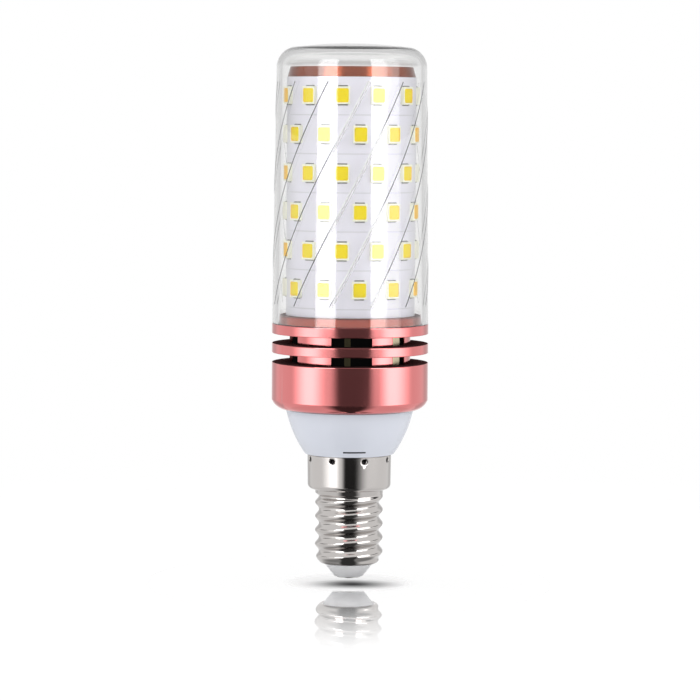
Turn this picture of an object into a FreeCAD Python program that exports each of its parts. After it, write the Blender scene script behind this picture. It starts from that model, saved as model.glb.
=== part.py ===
import FreeCAD, Part
import math
import os

import Sketcher
from FreeCAD import Placement, Rotation, Vector

# A corn LED bulb with an E14 screw cap. The origin is the tip of the centre contact, the axis is +Z and
# the domed cover is at the top. Millimetres and degrees. Azimuths count from the front, the -Y side,
# and grow towards +X.

SIZES = [
    ("fit_gap", 0.05, "clearance between pieces that are pushed together"),
    ("cut_margin", 1.0, "how far a cutter reaches past the wall that it cuts"),
    ("contact_radius", 2.4, "head of the centre contact"),
    ("contact_height", 0.25, "thickness of that head"),
    ("contact_shank_radius", 1.0, "hollow shank of the contact"),
    ("contact_shank_bore", 0.45, "radius of the shank's bore, for the resistor's lead"),
    ("contact_shank_length", 5.6, "shank above the head"),
    ("insulator_tip_margin", 0.5, "flat end of the insulator, out from the contact"),
    ("insulator_plug_top", 5.0, "height of the insulator's inner face"),
    ("shell_bottom", 2.9, "height of the shell's lower edge"),
    ("shell_curl_reach", 0.7, "how far that edge curls in from the thread's root"),
    ("shell_wall", 0.3, "sheet of the shell"),
    ("shell_curl_height", 0.6, "height over which the shell curls in to its mouth"),
    ("thread_crest_radius", 6.9, "E14 thread, crest"),
    ("thread_depth", 0.8, "E14 thread, from crest to root"),
    ("thread_pitch", 2.822, "E14 thread, pitch"),
    ("thread_ridge_foot", 2.3, "width of the thread's round ridge at its foot"),
    ("thread_first_crest", 5.35, "height of the lowest crest on the +X side"),
    ("thread_lead_in", 1.2, "height over which the ridge grows from the shell's mouth"),
    ("neck_bottom", 17.3, "where the thread ends and the plain neck begins"),
    ("shell_neck_height", 0.75, "plain neck between the thread and the collar"),
    ("collar_radius", 8.5, "outer radius of the collar's rim"),
    ("collar_height", 7.2, "height of the collar"),
    ("collar_draft", 0.08, "how much narrower the collar is above its rounding"),
    ("collar_rounding", 1.0, "rounding of the collar's lower corner"),
    ("collar_rounding_reach", 0.92, "how far that rounding reaches in"),
    ("stake_count", 8, "punched marks round the collar"),
    ("stake_radius", 0.55, "radius of a mark at the surface"),
    ("stake_drop", 1.0, "distance of the marks below the rim"),
    ("stake_azimuth", 21.1, "azimuth of the first mark"),
    ("housing_lip_step", 0.55, "step from the collar's rim out to the housing"),
    ("housing_height", 8.95, "height of the housing between collar and heat sink"),
    ("housing_shoulder", 1.25, "step from the heat sink's bore out to the housing's upper edge"),
    ("housing_swell", 24.0, "radius of the curve of the housing's flank"),
    ("housing_wall", 1.2, "wall of the housing"),
    ("spigot_lift", 1.5, "distance from the collar's underside up to the housing's spigot"),
    ("spigot_nose", 0.8, "height of the cone under the spigot"),
    ("throat_bottom", 8.0, "lower end of the housing's throat"),
    ("throat_wall", 1.1, "wall of the throat"),
    ("housing_spigot_height", 2.5, "spigot of the housing inside the heat sink"),
    ("wire_groove_width", 0.8, "groove in the throat for the neutral wire"),
    ("wire_groove_length", 4.8, "length of that groove"),
    ("sink_radius", 15.8, "outer radius of the heat sink's fins and body"),
    ("sink_corner_height", 2.0, "height of the rounded lower corner"),
    ("sink_corner_radius", 3.0, "radius of that rounding"),
    ("sink_body_height", 9.54, "lower body, from the underside to the first groove"),
    ("groove_height", 1.97, "height of each groove"),
    ("groove_floor_wall", 0.55, "metal left between the bore and the grooves"),
    ("fin_height", 1.9, "fin between the grooves"),
    ("flange_height", 2.0, "flange under the cover"),
    ("seat_ledge", 1.35, "ledge under the LED tube, from its outside in to the bore"),
    ("neck_clearance", 0.3, "gap between the cover and the neck inside it"),
    ("neck_height", 1.8, "neck above the flange"),
    ("tube_seat_depth", 2.0, "recess in the neck for the LED tube"),
    ("window_front_azimuth", 1.7, "middle of the wide window at the front"),
    ("window_front_width", 39.0, "its width as an angle"),
    ("window_right_azimuth", 53.6, "middle of the narrow window"),
    ("window_right_width", 19.2, "its width"),
    ("window_left_azimuth", -74.5, "middle of the window at the left"),
    ("window_left_width", 31.0, "its width"),
    ("window_pairs", 2, "each window is repeated on the far side"),
    ("window_lip", 0.2, "strip of the groove's floor left above each window"),
    ("liner_wall", 0.4, "wall of the insulating liner"),
    ("liner_end_gap", 0.64, "distance from the liner's upper end to the LED tube"),
    ("board_tube_wall", 0.8, "thickness of the rolled LED board"),
    ("board_seam", 0.4, "gap at the seam at the back"),
    ("led_width", 2.8, "LED package, round the tube"),
    ("led_height", 3.5, "LED package, along the axis"),
    ("led_thickness", 0.7, "LED package, outwards"),
    ("led_clearance", 0.23, "gap between the LEDs and the cover where it is narrowest"),
    ("led_frame", 0.17, "white frame at the sides of the window"),
    ("led_end_frame", 0.35, "white frame above and below the window"),
    ("led_recess", 0.25, "depth of the emitting window"),
    ("phosphor_thickness", 0.22, "thickness of the phosphor in that window"),
    ("led_columns", 12, "LEDs in a row"),
    ("led_rows", 6, "rows of LEDs"),
    ("led_row_pitch", 7.68, "distance between the rows"),
    ("led_first_margin", 7.58, "middle of the lowest row above the board's lower end"),
    ("led_last_margin", 3.69, "board's upper end above the middle of the highest row"),
    ("led_stagger", 15.0, "angle between one row and the next"),
    ("top_cap_height", 2.05, "visible height of the top cap"),
    ("top_cap_inset", 0.1, "top cap's lower edge, in from the LED board"),
    ("top_cap_draft", 0.55, "how much narrower the top cap is at its upper edge"),
    ("top_cap_wall", 0.8, "metal of the top cap"),
    ("top_cap_spigot", 2.0, "depth of its ring inside the LED tube"),
    ("cover_step", 0.05, "step from the flange in to the cover"),
    ("cover_draft", 0.67, "how much narrower the cover is at its dome"),
    ("cover_wall", 1.15, "wall of the cover"),
    ("cover_headroom", 3.59, "gap between the top cap and the dome"),
    ("cover_dome_rise", 1.3, "rise of the dome"),
    ("cover_corner", 4.0, "rounding between side and dome"),
    ("driver_board_thickness", 1.0, "circuit board of the driver"),
    ("driver_board_back", 2.0, "distance of the board's rear face from the axis"),
    ("driver_board_inset", 2.65, "side of the board's wide part, in from the heat sink's bore"),
    ("driver_board_foot_inset", 2.7, "side of its narrow part, in from the collar's outside"),
    ("driver_board_foot_depth", 4.7, "lower end of the board below the collar's rim"),
    ("driver_board_shoulder_lift", 1.1, "where it becomes wide, above the heat sink's underside"),
    ("driver_board_wide_height", 19.0, "height of its wide part"),
    ("bulk_capacitor_radius", 4.0, "capacitor after the rectifier"),
    ("bulk_capacitor_length", 12.0, "its length"),
    ("bulk_capacitor_across", -4.3, "its place across the board"),
    ("bulk_capacitor_lift", 2.5, "its lower end above the board's shoulder"),
    ("output_capacitor_radius", 2.5, "capacitor at the output"),
    ("output_capacitor_length", 11.0, "its length"),
    ("output_capacitor_lift", 3.2, "its lower end above the board's"),
    ("capacitor_waist_lift", 1.2, "crimped waist of both capacitors, above the lower end"),
    ("capacitor_waist_depth", 0.3, "depth of that waist"),
    ("inductor_radius", 4.0, "flanges of the inductor's core"),
    ("inductor_length", 9.0, "length of the core"),
    ("inductor_flange", 1.1, "thickness of a flange"),
    ("inductor_core_radius", 1.7, "core inside the winding"),
    ("winding_radius", 3.6, "outer radius of the winding"),
    ("inductor_across", 4.6, "its place across the board"),
    ("inductor_lift", 3.0, "its lower end above the board's shoulder"),
    ("rectifier_width", 4.7, "bridge rectifier, across"),
    ("rectifier_height", 3.9, "bridge rectifier, along the board"),
    ("rectifier_thickness", 1.5, "bridge rectifier, off the board"),
    ("rectifier_lift", 6.7, "its lower edge above the board's lower end"),
    ("chip_width", 3.9, "driver chip, across"),
    ("chip_height", 4.9, "driver chip, along the board"),
    ("chip_thickness", 1.5, "driver chip, off the board"),
    ("chip_lift", 6.0, "its lower edge above the board's shoulder"),
    ("diode_width", 2.6, "freewheel diode, across"),
    ("diode_height", 4.3, "freewheel diode, along the board"),
    ("diode_thickness", 2.1, "freewheel diode, off the board"),
    ("diode_inset", 2.7, "its outer edge, in from the side of the board's wide part"),
    ("diode_lift", 7.0, "its lower edge above the board's shoulder"),
    ("resistor_width", 1.25, "chip resistor, across"),
    ("resistor_height", 2.0, "chip resistor, along the board"),
    ("resistor_thickness", 0.6, "chip resistor, off the board"),
    ("resistor_lift", 2.5, "lowest chip resistor above the board's shoulder"),
    ("resistor_pitch", 4.0, "distance from one chip resistor to the next"),
    ("resistor_inset", 2.9, "outer edge of the chip resistors, in from the other side of the board"),
    ("resistor_count", 4, "chip resistors on the board"),
    ("fuse_radius", 1.5, "body of the fusible resistor"),
    ("fuse_length", 6.5, "its length"),
    ("fuse_lift", 1.6, "its lower end above the lower end of the throat"),
    ("fuse_lead_radius", 0.3, "its leads"),
    ("wire_radius", 0.3, "neutral wire and LED leads"),
    ("neutral_wire_gap", 1.05, "gap between the neutral wire and the wall of the throat"),
    ("neutral_wire_overlap", 1.7, "its soldered end above the board's lower end"),
    ("led_lead_across", 2.4, "distance of each LED lead from the middle"),
    ("led_lead_rise", 6.0, "height that the leads climb above the board"),
    ("led_lead_bend", 2.5, "radius of their bends"),
]

DOCUMENT = FreeCAD.newDocument("CornBulb")
SHEET = DOCUMENT.addObject("Spreadsheet::Sheet", "Sizes")


class Size:
    """A number together with the spreadsheet expression that it comes from."""

    def __init__(self, number, words):
        self.number = number
        self.words = words

    def __add__(self, other):
        other = as_size(other)
        return Size(self.number + other.number, f"({self.words} + {other.words})")

    def __sub__(self, other):
        other = as_size(other)
        return Size(self.number - other.number, f"({self.words} - {other.words})")

    def __mul__(self, other):
        other = as_size(other)
        return Size(self.number * other.number, f"({self.words} * {other.words})")

    def __truediv__(self, other):
        other = as_size(other)
        return Size(self.number / other.number, f"({self.words} / {other.words})")

    def __neg__(self):
        return Size(-self.number, f"(0 - {self.words})")


def as_size(value):
    """A plain number is taken as it is; a Size stays a Size."""
    if isinstance(value, Size):
        return value
    return Size(float(value), repr(float(value)))


def fill_sheet():
    """Write every size, its name and what it is into the spreadsheet."""
    for row, (name, number, meaning) in enumerate(SIZES, start=1):
        SHEET.set(f"A{row}", name)
        SHEET.set(f"B{row}", str(number))
        SHEET.setAlias(f"B{row}", name)
        SHEET.set(f"C{row}", meaning)
    DOCUMENT.recompute()


def size(name):
    """The size with this name, read back from the spreadsheet."""
    return Size(float(SHEET.get(name)), f"Sizes.{name}")


def bind(target, path, value):
    """Bind a property of an object to a size."""
    target.setExpression(path, as_size(value).words)


def thread_root():
    """Radius of the thread's root, which is also the shell's plain radius."""
    return size("thread_crest_radius") - size("thread_depth")


def collar_base():
    """Height of the collar's underside."""
    return size("neck_bottom") + size("shell_neck_height")


def collar_rim():
    """Height of the collar's rim, where the housing rests on it."""
    return collar_base() + size("collar_height")


def collar_lower_radius():
    """Outer radius of the collar just above its rounding."""
    return size("collar_radius") - size("collar_draft")


def sink_foot():
    """Height of the heat sink's underside."""
    return collar_rim() + size("housing_height")


def cover_rim_radius():
    """Outer radius of the cover at the flange."""
    return size("sink_radius") - size("cover_step")


def cover_shoulder_radius():
    """Outer radius where the cover's side and dome would meet without their rounding."""
    return cover_rim_radius() - size("cover_draft")


def tube_radius():
    """Outer radius of the LED tube: as wide as the cover lets it be."""
    room = size("cover_wall") + size("led_clearance") + size("led_thickness")
    return cover_shoulder_radius() - room


def sink_bore():
    """Radius of the heat sink's bore."""
    return tube_radius() - size("seat_ledge")


def housing_shoulder_radius():
    """Radius of the housing and of the heat sink where they meet."""
    return sink_bore() + size("housing_shoulder")


def throat_radius():
    """Outer radius of the housing's throat, inside the screw shell."""
    return thread_root() - size("shell_wall") - size("fit_gap")


def wire_groove_top():
    """Upper end of the groove for the neutral wire."""
    return size("throat_bottom") + size("wire_groove_length")


def sink_levels():
    """Heights of the heat sink's steps, from the lower body's top to the flange's top."""
    levels = [sink_foot() + size("sink_body_height")]
    for step in ("groove_height", "fin_height", "groove_height", "flange_height"):
        levels.append(levels[-1] + size(step))
    return levels


def tube_levels():
    """Lower end of the LED tube, middle of the lowest row of LEDs, and upper end."""
    bottom = sink_levels()[-1] + size("neck_height") - size("tube_seat_depth")
    first_row = bottom + size("led_first_margin")
    last_row = first_row + size("led_row_pitch") * (size("led_rows") - 1)
    return bottom, first_row, last_row + size("led_last_margin")


def driver_board_side():
    """Distance of the sides of the driver board's wide part from the middle."""
    return sink_bore() - size("driver_board_inset")


def driver_board_levels():
    """Lower end, shoulder and upper end of the driver board."""
    bottom = collar_rim() - size("driver_board_foot_depth")
    shoulder = sink_foot() + size("driver_board_shoulder_lift")
    return bottom, shoulder, shoulder + size("driver_board_wide_height")


def new_body(label):
    """An empty body whose label names the piece."""
    body = DOCUMENT.addObject("PartDesign::Body", label)
    body.Label = label
    body.Placement = Placement()
    return body


def new_sketch(body, name, plane, azimuth=None):
    """A sketch on one of the body's own planes, turned about the axis to an azimuth if one is given."""
    sketch = body.newObject("Sketcher::SketchObject", name)
    planes = {feature.Role: feature for feature in body.Origin.OriginFeatures}
    sketch.AttachmentSupport = [(planes[plane], "")]
    sketch.MapMode = "FlatFace"
    if azimuth is not None:
        turn = azimuth - 90
        sketch.AttachmentOffset = Placement(Vector(), Rotation(Vector(0, 1, 0), turn.number))
        bind(sketch, "AttachmentOffset.Rotation.Angle", turn)
    return sketch


def place_point(sketch, edge, end, across, up):
    """Hold one end of an edge at two sizes from the sketch's origin."""
    for kind, value, axis in (("DistanceX", across, -2), ("DistanceY", up, -1)):
        value = as_size(value)
        if value.number == 0:
            sketch.addConstraint(Sketcher.Constraint("PointOnObject", edge, end, axis))
        else:
            constraint = Sketcher.Constraint(kind, -1, 1, edge, end, value.number)
            index = sketch.addConstraint(constraint)
            bind(sketch, f"Constraints[{index}]", value)


def arc_centre(start, finish, radius, leftward):
    """Centre of an arc between two points that bulges to the left or the right of the way between them."""
    chord = finish - start
    bulge = Vector(-chord.y, chord.x, 0).normalize()
    if not leftward:
        bulge = bulge * -1
    half = chord.Length / 2
    return (start + finish) * 0.5 - bulge * math.sqrt(radius ** 2 - half ** 2)


def outline(sketch, corners):
    """A closed outline through corners (across, up) or (across, up, radius, side) for an arc that follows."""
    points = [Vector(as_size(c[0]).number, as_size(c[1]).number, 0) for c in corners]
    ends = []
    for index, corner in enumerate(corners):
        start = points[index]
        finish = points[(index + 1) % len(points)]
        if len(corner) == 2:
            sketch.addGeometry(Part.LineSegment(start, finish))
            ends.append((1, 2))
        else:
            radius, side = as_size(corner[2]), corner[3]
            centre = arc_centre(start, finish, radius.number, side == "left")
            first, last = (finish, start) if side == "left" else (start, finish)
            angles = [math.atan2(p.y - centre.y, p.x - centre.x) for p in (first, last)]
            circle = Part.Circle(centre, Vector(0, 0, 1), radius.number)
            sketch.addGeometry(Part.ArcOfCircle(circle, angles[0], angles[1]))
            ends.append((2, 1) if side == "left" else (1, 2))
    for index, corner in enumerate(corners):
        following = (index + 1) % len(corners)
        joined = Sketcher.Constraint("Coincident", index, ends[index][1], following, ends[following][0])
        sketch.addConstraint(joined)
        place_point(sketch, index, ends[index][0], corner[0], corner[1])
        if len(corner) > 2:
            radius = as_size(corner[2])
            number = sketch.addConstraint(Sketcher.Constraint("Radius", index, radius.number))
            bind(sketch, f"Constraints[{number}]", radius)


def turn_fully(body, sketch, name):
    """Turn a sketch of a body a full turn about the axis."""
    turning = body.newObject("PartDesign::Revolution", name)
    turning.Profile = sketch
    turning.ReferenceAxis = (sketch, ["V_Axis"])
    turning.Angle = 360
    DOCUMENT.recompute()


def turned_body(label, corners):
    """A body of revolution about the axis; the outline's across values are radii."""
    body = new_body(label)
    sketch = new_sketch(body, f"{label}_section", "XZ_Plane")
    outline(sketch, corners)
    turn_fully(body, sketch, f"{label}_turning")
    return body


def compute_cut(body, feature):
    """Compute a feature that takes material away, and stop if it takes none."""
    before = body.Shape.Volume
    DOCUMENT.recompute()
    if feature.Shape.Volume >= before:
        raise RuntimeError(f"{feature.Name} cuts nothing")


def rectangle(low_across, low_up, high_across, high_up):
    """The four corners of a rectangle in a sketch."""
    return [(low_across, low_up), (high_across, low_up), (high_across, high_up), (low_across, high_up)]


def sector_groove(body, name, azimuth, angle, boxes):
    """Cut rectangles (radii and heights) out of the body over an angle centred on an azimuth."""
    grooves = []
    for number, box in enumerate(boxes, start=1):
        sketch = new_sketch(body, f"{name}_{number}_section", "XZ_Plane", azimuth)
        outline(sketch, rectangle(*box))
        groove = body.newObject("PartDesign::Groove", f"{name}_{number}")
        groove.Profile = sketch
        groove.ReferenceAxis = (sketch, ["V_Axis"])
        groove.Midplane = True
        bind(groove, "Angle", angle)
        compute_cut(body, groove)
        grooves.append(groove)
    return grooves


def polar_copies(body, name, features, count):
    """Repeat features of a body evenly round its axis."""
    pattern = body.newObject("PartDesign::PolarPattern", name)
    pattern.Originals = features
    pattern.Axis = (features[0].Profile[0], ["V_Axis"])
    pattern.Angle = 360
    bind(pattern, "Occurrences", count)
    body.Tip = pattern
    DOCUMENT.recompute()
    return pattern


def board_box(label, sizes, centre_across, face, bottom):
    """A block on the driver board: (width, thickness, height), with one face at a distance from the axis."""
    block = DOCUMENT.addObject("Part::Box", label)
    block.Label = label
    width, thickness, height = (as_size(value) for value in sizes)
    bind(block, "Length", width)
    bind(block, "Width", thickness)
    bind(block, "Height", height)
    corner = (as_size(centre_across) - width / 2, as_size(face), as_size(bottom))
    block.Placement = Placement(Vector(*(value.number for value in corner)), Rotation())
    for axis, value in zip("xyz", corner):
        bind(block, f"Placement.Base.{axis}", value)
    return block


def place_body(body, across, back, up):
    """Set a body's placement from sizes."""
    values = [as_size(value) for value in (across, back, up)]
    body.Placement = Placement(Vector(*(value.number for value in values)), Rotation())
    for axis, value in zip("xyz", values):
        bind(body, f"Placement.Base.{axis}", value)


def shaped(label, shape):
    """A piece whose shape is worked out in code from the sheet's sizes."""
    piece = DOCUMENT.addObject("Part::Feature", label)
    piece.Label = label
    piece.Shape = shape
    piece.Placement = Placement()
    return piece


def bent_wire(points, radius, bend):
    """A round wire along straight runs joined by tangent arcs."""
    edges = []
    start = points[0]
    for before, corner, after in zip(points, points[1:], points[2:]):
        arriving = (corner - before).normalize()
        leaving = (after - corner).normalize()
        turn = arriving.getAngle(leaving)
        reach = bend * math.tan(turn / 2)
        first = corner - arriving * reach
        last = corner + leaving * reach
        inward = (leaving - arriving).normalize()
        centre = corner + inward * (bend / math.cos(turn / 2))
        edges.append(Part.LineSegment(start, first).toShape())
        edges.append(Part.Arc(first, centre - inward * bend, last).toShape())
        start = last
    edges.append(Part.LineSegment(start, points[-1]).toShape())
    path = Part.Wire(edges)
    section = Part.Wire(Part.Circle(points[0], points[1] - points[0], radius).toShape())
    wire = path.makePipeShell([section], True, False)
    expected = math.pi * radius ** 2 * path.Length
    if abs(wire.Volume - expected) > 0.01 * expected:
        raise RuntimeError("a wire has lost volume")
    return wire


def make_cap_shell():
    """The screw shell: a drawn sheet with a rolled thread, a plain neck and a staked collar."""
    wall = size("shell_wall")
    crest = size("thread_crest_radius")
    root = thread_root()
    mouth = root - size("shell_curl_reach")
    bottom = size("shell_bottom")
    curl_top = bottom + size("shell_curl_height")
    neck = size("neck_bottom")
    shoulder = collar_base()
    shoulder_radius = collar_lower_radius() - size("collar_rounding_reach")
    rounding = size("collar_rounding")
    step = size("thread_depth")
    sheet = turned_body("shell_sheet", [
        (mouth - wall, bottom),
        (mouth, bottom),
        (root, curl_top),
        (root, neck - step),
        (crest, neck),
        (crest, shoulder),
        (shoulder_radius, shoulder, rounding, "right"),
        (collar_lower_radius(), shoulder + rounding),
        (size("collar_radius"), collar_rim()),
        (size("collar_radius") - wall, collar_rim()),
        (collar_lower_radius() - wall, shoulder + rounding),
        (shoulder_radius, shoulder + wall),
        (crest - wall, shoulder + wall),
        (crest - wall, neck),
        (root - wall, neck - step),
        (root - wall, curl_top),
    ])
    stake_collar(sheet)
    ridge = make_thread_ridge()
    full_depth = curl_top + size("thread_lead_in")
    clear_of_crest = crest + size("cut_margin")
    limits = turned_body("thread_limits", [
        (0, bottom),
        (mouth, bottom),
        (crest, full_depth),
        (clear_of_crest, full_depth),
        (clear_of_crest, neck),
        (0, neck),
    ])
    trimmed = DOCUMENT.addObject("Part::Common", "thread_trimmed")
    trimmed.Base = ridge
    trimmed.Tool = limits
    shell = DOCUMENT.addObject("Part::Fuse", "cap_shell")
    shell.Label = "cap_shell"
    shell.Base = sheet
    shell.Tool = trimmed
    shell.Placement = Placement()
    DOCUMENT.recompute()
    return shell


def stake_collar(sheet):
    """Punch the ring of marks that grip the housing."""
    radius = size("collar_radius")
    wall = size("shell_wall")
    mark = size("stake_radius")
    middle = collar_rim() - size("stake_drop")
    sketch = new_sketch(sheet, "stake_section", "XZ_Plane", size("stake_azimuth"))
    outline(sketch, [
        (radius - wall * 2, middle),
        (radius + wall, middle),
        (radius + wall, middle + mark + wall),
        (radius - wall, middle + mark - wall),
    ])
    axis = sketch.addGeometry(Part.LineSegment(Vector(0, middle.number, 0), Vector(1, middle.number, 0)), True)
    place_point(sketch, axis, 1, 0, middle)
    sketch.addConstraint(Sketcher.Constraint("Horizontal", axis))
    punch = sheet.newObject("PartDesign::Groove", "stake_punch")
    punch.Profile = sketch
    punch.ReferenceAxis = (sketch, ["Axis0"])
    punch.Angle = 360
    compute_cut(sheet, punch)
    polar_copies(sheet, "stake_ring", [punch], size("stake_count"))


def make_thread_ridge():
    """The round ridge of the right-handed thread, swept along its helix."""
    pitch = size("thread_pitch")
    start = size("thread_first_crest") - pitch
    helix = DOCUMENT.addObject("Part::Helix", "thread_helix")
    bind(helix, "Pitch", pitch)
    bind(helix, "Height", size("neck_bottom") - start + pitch / 4)
    bind(helix, "Radius", thread_root())
    helix.Placement = Placement(Vector(0, 0, start.number), Rotation())
    bind(helix, "Placement.Base.z", start)
    inner = thread_root() - size("shell_wall") / 2
    half = size("thread_ridge_foot") / 2
    rise = size("thread_crest_radius") - inner
    bulge = (half * half + rise * rise) / (rise * 2)
    section = DOCUMENT.addObject("Sketcher::SketchObject", "thread_section")
    section.Placement = Placement(Vector(), Rotation(Vector(1, 0, 0), 90))
    outline(section, [(inner, start - half, bulge, "right"), (inner, start + half)])
    DOCUMENT.recompute()
    ridge = DOCUMENT.addObject("Part::Sweep", "thread_ridge")
    ridge.Sections = [section]
    ridge.Spine = (helix, [])
    ridge.Solid = True
    ridge.Frenet = True
    DOCUMENT.recompute()
    return ridge


def make_cap_insulator():
    """The insulating cone, held by the curl of the shell, with a hole for the contact."""
    gap = size("fit_gap")
    wall = size("shell_wall")
    bottom = size("shell_bottom")
    mouth = thread_root() - size("shell_curl_reach") - wall
    plug = thread_root() - wall - gap
    hole = size("contact_shank_radius") + gap
    curl_top = bottom + size("shell_curl_height")
    return turned_body("cap_insulator", [
        (hole, size("contact_height")),
        (size("contact_radius") + size("insulator_tip_margin"), size("contact_height")),
        (mouth - gap, bottom),
        (plug, curl_top + gap),
        (plug, size("insulator_plug_top")),
        (hole, size("insulator_plug_top")),
    ])


def make_centre_contact():
    """The contact: a flat head on a hollow shank."""
    head = size("contact_height")
    bore = size("contact_shank_bore")
    bore_end = head * 2
    top = head + size("contact_shank_length")
    return turned_body("centre_contact", [
        (0, 0),
        (size("contact_radius"), 0),
        (size("contact_radius"), head),
        (size("contact_shank_radius"), head),
        (size("contact_shank_radius"), top),
        (bore, top),
        (bore, bore_end),
        (0, bore_end),
    ])


def make_driver_housing():
    """The white housing: a swelling cone with a spigot at each end and a throat down the screw shell."""
    gap = size("fit_gap")
    wall = size("housing_wall")
    top = sink_foot()
    lip = collar_rim()
    spigot = collar_lower_radius() - size("shell_wall") - gap
    spigot_end = collar_base() + size("spigot_lift")
    nose_end = spigot_end - size("spigot_nose")
    throat = throat_radius()
    throat_bore = throat - size("throat_wall")
    upper = sink_bore() - gap
    rim = top + size("housing_spigot_height")
    swell = size("housing_swell")
    body = turned_body("driver_housing", [
        (throat_bore, size("throat_bottom")),
        (throat, size("throat_bottom")),
        (throat, nose_end),
        (spigot, spigot_end),
        (spigot, lip),
        (size("collar_radius") + size("housing_lip_step"), lip, swell, "right"),
        (housing_shoulder_radius(), top),
        (upper, top),
        (upper, rim),
        (upper - wall, rim),
        (upper - wall, top),
        (spigot - wall, lip),
        (spigot - wall, spigot_end + wall / 2),
        (throat_bore, nose_end + wall / 2),
    ])
    groove_half = size("wire_groove_width") / 2
    sketch = new_sketch(body, "wire_groove_section", "YZ_Plane")
    outline(sketch, [
        (-groove_half, size("throat_bottom")),
        (groove_half, size("throat_bottom")),
        (groove_half, wire_groove_top()),
        (-groove_half, wire_groove_top()),
    ])
    groove = body.newObject("PartDesign::Pocket", "wire_groove")
    groove.Profile = sketch
    groove.Type = "Length"
    bind(groove, "Length", thread_root())
    compute_cut(body, groove)
    return body


def make_heat_sink():
    """The turned heat sink, with windows milled through the floors of its two grooves."""
    outer = size("sink_radius")
    bore = sink_bore()
    floor = bore + size("groove_floor_wall")
    bottom = sink_foot()
    body_top, fin_bottom, fin_top, flange_bottom, flange_top = sink_levels()
    neck_top = flange_top + size("neck_height")
    neck_radius = cover_rim_radius() - size("cover_wall") - size("neck_clearance")
    seat = tube_radius() + size("fit_gap")
    seat_floor = tube_levels()[0]
    body = turned_body("heat_sink", [
        (bore, bottom),
        (housing_shoulder_radius(), bottom, size("sink_corner_radius"), "right"),
        (outer, bottom + size("sink_corner_height")),
        (outer, body_top),
        (floor, body_top),
        (floor, fin_bottom),
        (outer, fin_bottom),
        (outer, fin_top),
        (floor, fin_top),
        (floor, flange_bottom),
        (outer, flange_bottom),
        (outer, flange_top),
        (neck_radius, flange_top),
        (neck_radius, neck_top),
        (seat, neck_top),
        (seat, seat_floor),
        (bore, seat_floor),
    ])
    lip = size("window_lip")
    margin = size("cut_margin")
    boxes = [
        (bore - margin, body_top, floor + margin, fin_bottom - lip),
        (bore - margin, fin_top, floor + margin, flange_bottom - lip),
    ]
    cuts = []
    for side in ("front", "right", "left"):
        azimuth = size(f"window_{side}_azimuth")
        width = size(f"window_{side}_width")
        cuts += sector_groove(body, f"window_{side}", azimuth, width, boxes)
    polar_copies(body, "windows_behind", cuts, size("window_pairs"))
    return body


def make_insulating_liner():
    """The black tube between the heat sink and the driver, standing on the housing's spigot."""
    outer = sink_bore() - size("fit_gap")
    inner = outer - size("liner_wall")
    bottom = sink_foot() + size("housing_spigot_height")
    top = tube_levels()[0] - size("liner_end_gap")
    return turned_body("insulating_liner", rectangle(inner, bottom, outer, top))


def make_led_board():
    """The circuit board, rolled into a tube that is open along a seam at the back."""
    bottom, _, top = tube_levels()
    outer = tube_radius()
    inner = outer - size("board_tube_wall")
    body = turned_body("led_board", rectangle(inner, bottom, outer, top))
    sketch = new_sketch(body, "seam_section", "XY_Plane")
    half = size("board_seam") / 2
    margin = size("cut_margin")
    outline(sketch, rectangle(-half, inner - margin, half, outer + margin))
    seam = body.newObject("PartDesign::Pocket", "seam")
    seam.Profile = sketch
    seam.Type = "ThroughAll"
    seam.Midplane = True
    compute_cut(body, seam)
    return body


def led_spots():
    """Placements of all the LEDs: their middle on the tube, facing outwards."""
    columns = int(size("led_columns").number)
    stagger = size("led_stagger").number
    spots = []
    for row in range(int(size("led_rows").number)):
        height = tube_levels()[1].number + row * size("led_row_pitch").number
        offset = stagger / 2 if row % 2 == 0 else -stagger / 2
        for column in range(columns):
            azimuth = offset + column * 360.0 / columns
            spots.append(Placement(Vector(0, 0, height), Rotation(Vector(0, 0, 1), azimuth)))
    return spots


def copies_at(shape, spots):
    """One compound of separate copies of a shape."""
    copies = []
    for spot in spots:
        copy = shape.copy()
        copy.Placement = spot.multiply(shape.Placement)
        copies.append(copy)
    return Part.makeCompound(copies)


def make_leds():
    """The LED packages and their emitting windows, one compound of each."""
    radius = tube_radius()
    face = radius + size("led_thickness")
    half_width = size("led_width") / 2
    half_height = size("led_height") / 2
    package = new_body("led_package")
    sketch = new_sketch(package, "led_package_outline", "XZ_Plane")
    outline(sketch, rectangle(-half_width, -half_height, half_width, half_height))
    pad = package.newObject("PartDesign::Pad", "led_package_pad")
    pad.Profile = sketch
    bind(pad, "Length", face)
    DOCUMENT.recompute()
    back = new_sketch(package, "led_package_back", "XZ_Plane")
    outline(back, rectangle(-half_width, -half_height, half_width, half_height))
    hollow = package.newObject("PartDesign::Pocket", "led_package_seat")
    hollow.Profile = back
    hollow.Type = "Length"
    bind(hollow, "Length", radius)
    hollow.Reversed = True
    DOCUMENT.recompute()
    window_half = (half_width - size("led_frame"), half_height - size("led_end_frame"))
    phosphor = board_box(
        "led_window",
        (window_half[0] * 2, size("phosphor_thickness"), window_half[1] * 2),
        0,
        -(face - size("led_recess") + size("phosphor_thickness")),
        -window_half[1],
    )
    opening = board_box(
        "led_opening",
        (window_half[0] * 2, size("led_recess") * 2, window_half[1] * 2),
        0,
        -(face + size("led_recess")),
        -window_half[1],
    )
    DOCUMENT.recompute()
    housing = DOCUMENT.addObject("Part::Cut", "led_housing")
    housing.Base = package
    housing.Tool = opening
    DOCUMENT.recompute()
    spots = led_spots()
    return [
        shaped("led_housings", copies_at(housing.Shape, spots)),
        shaped("led_phosphors", copies_at(phosphor.Shape, spots)),
    ]


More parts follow.
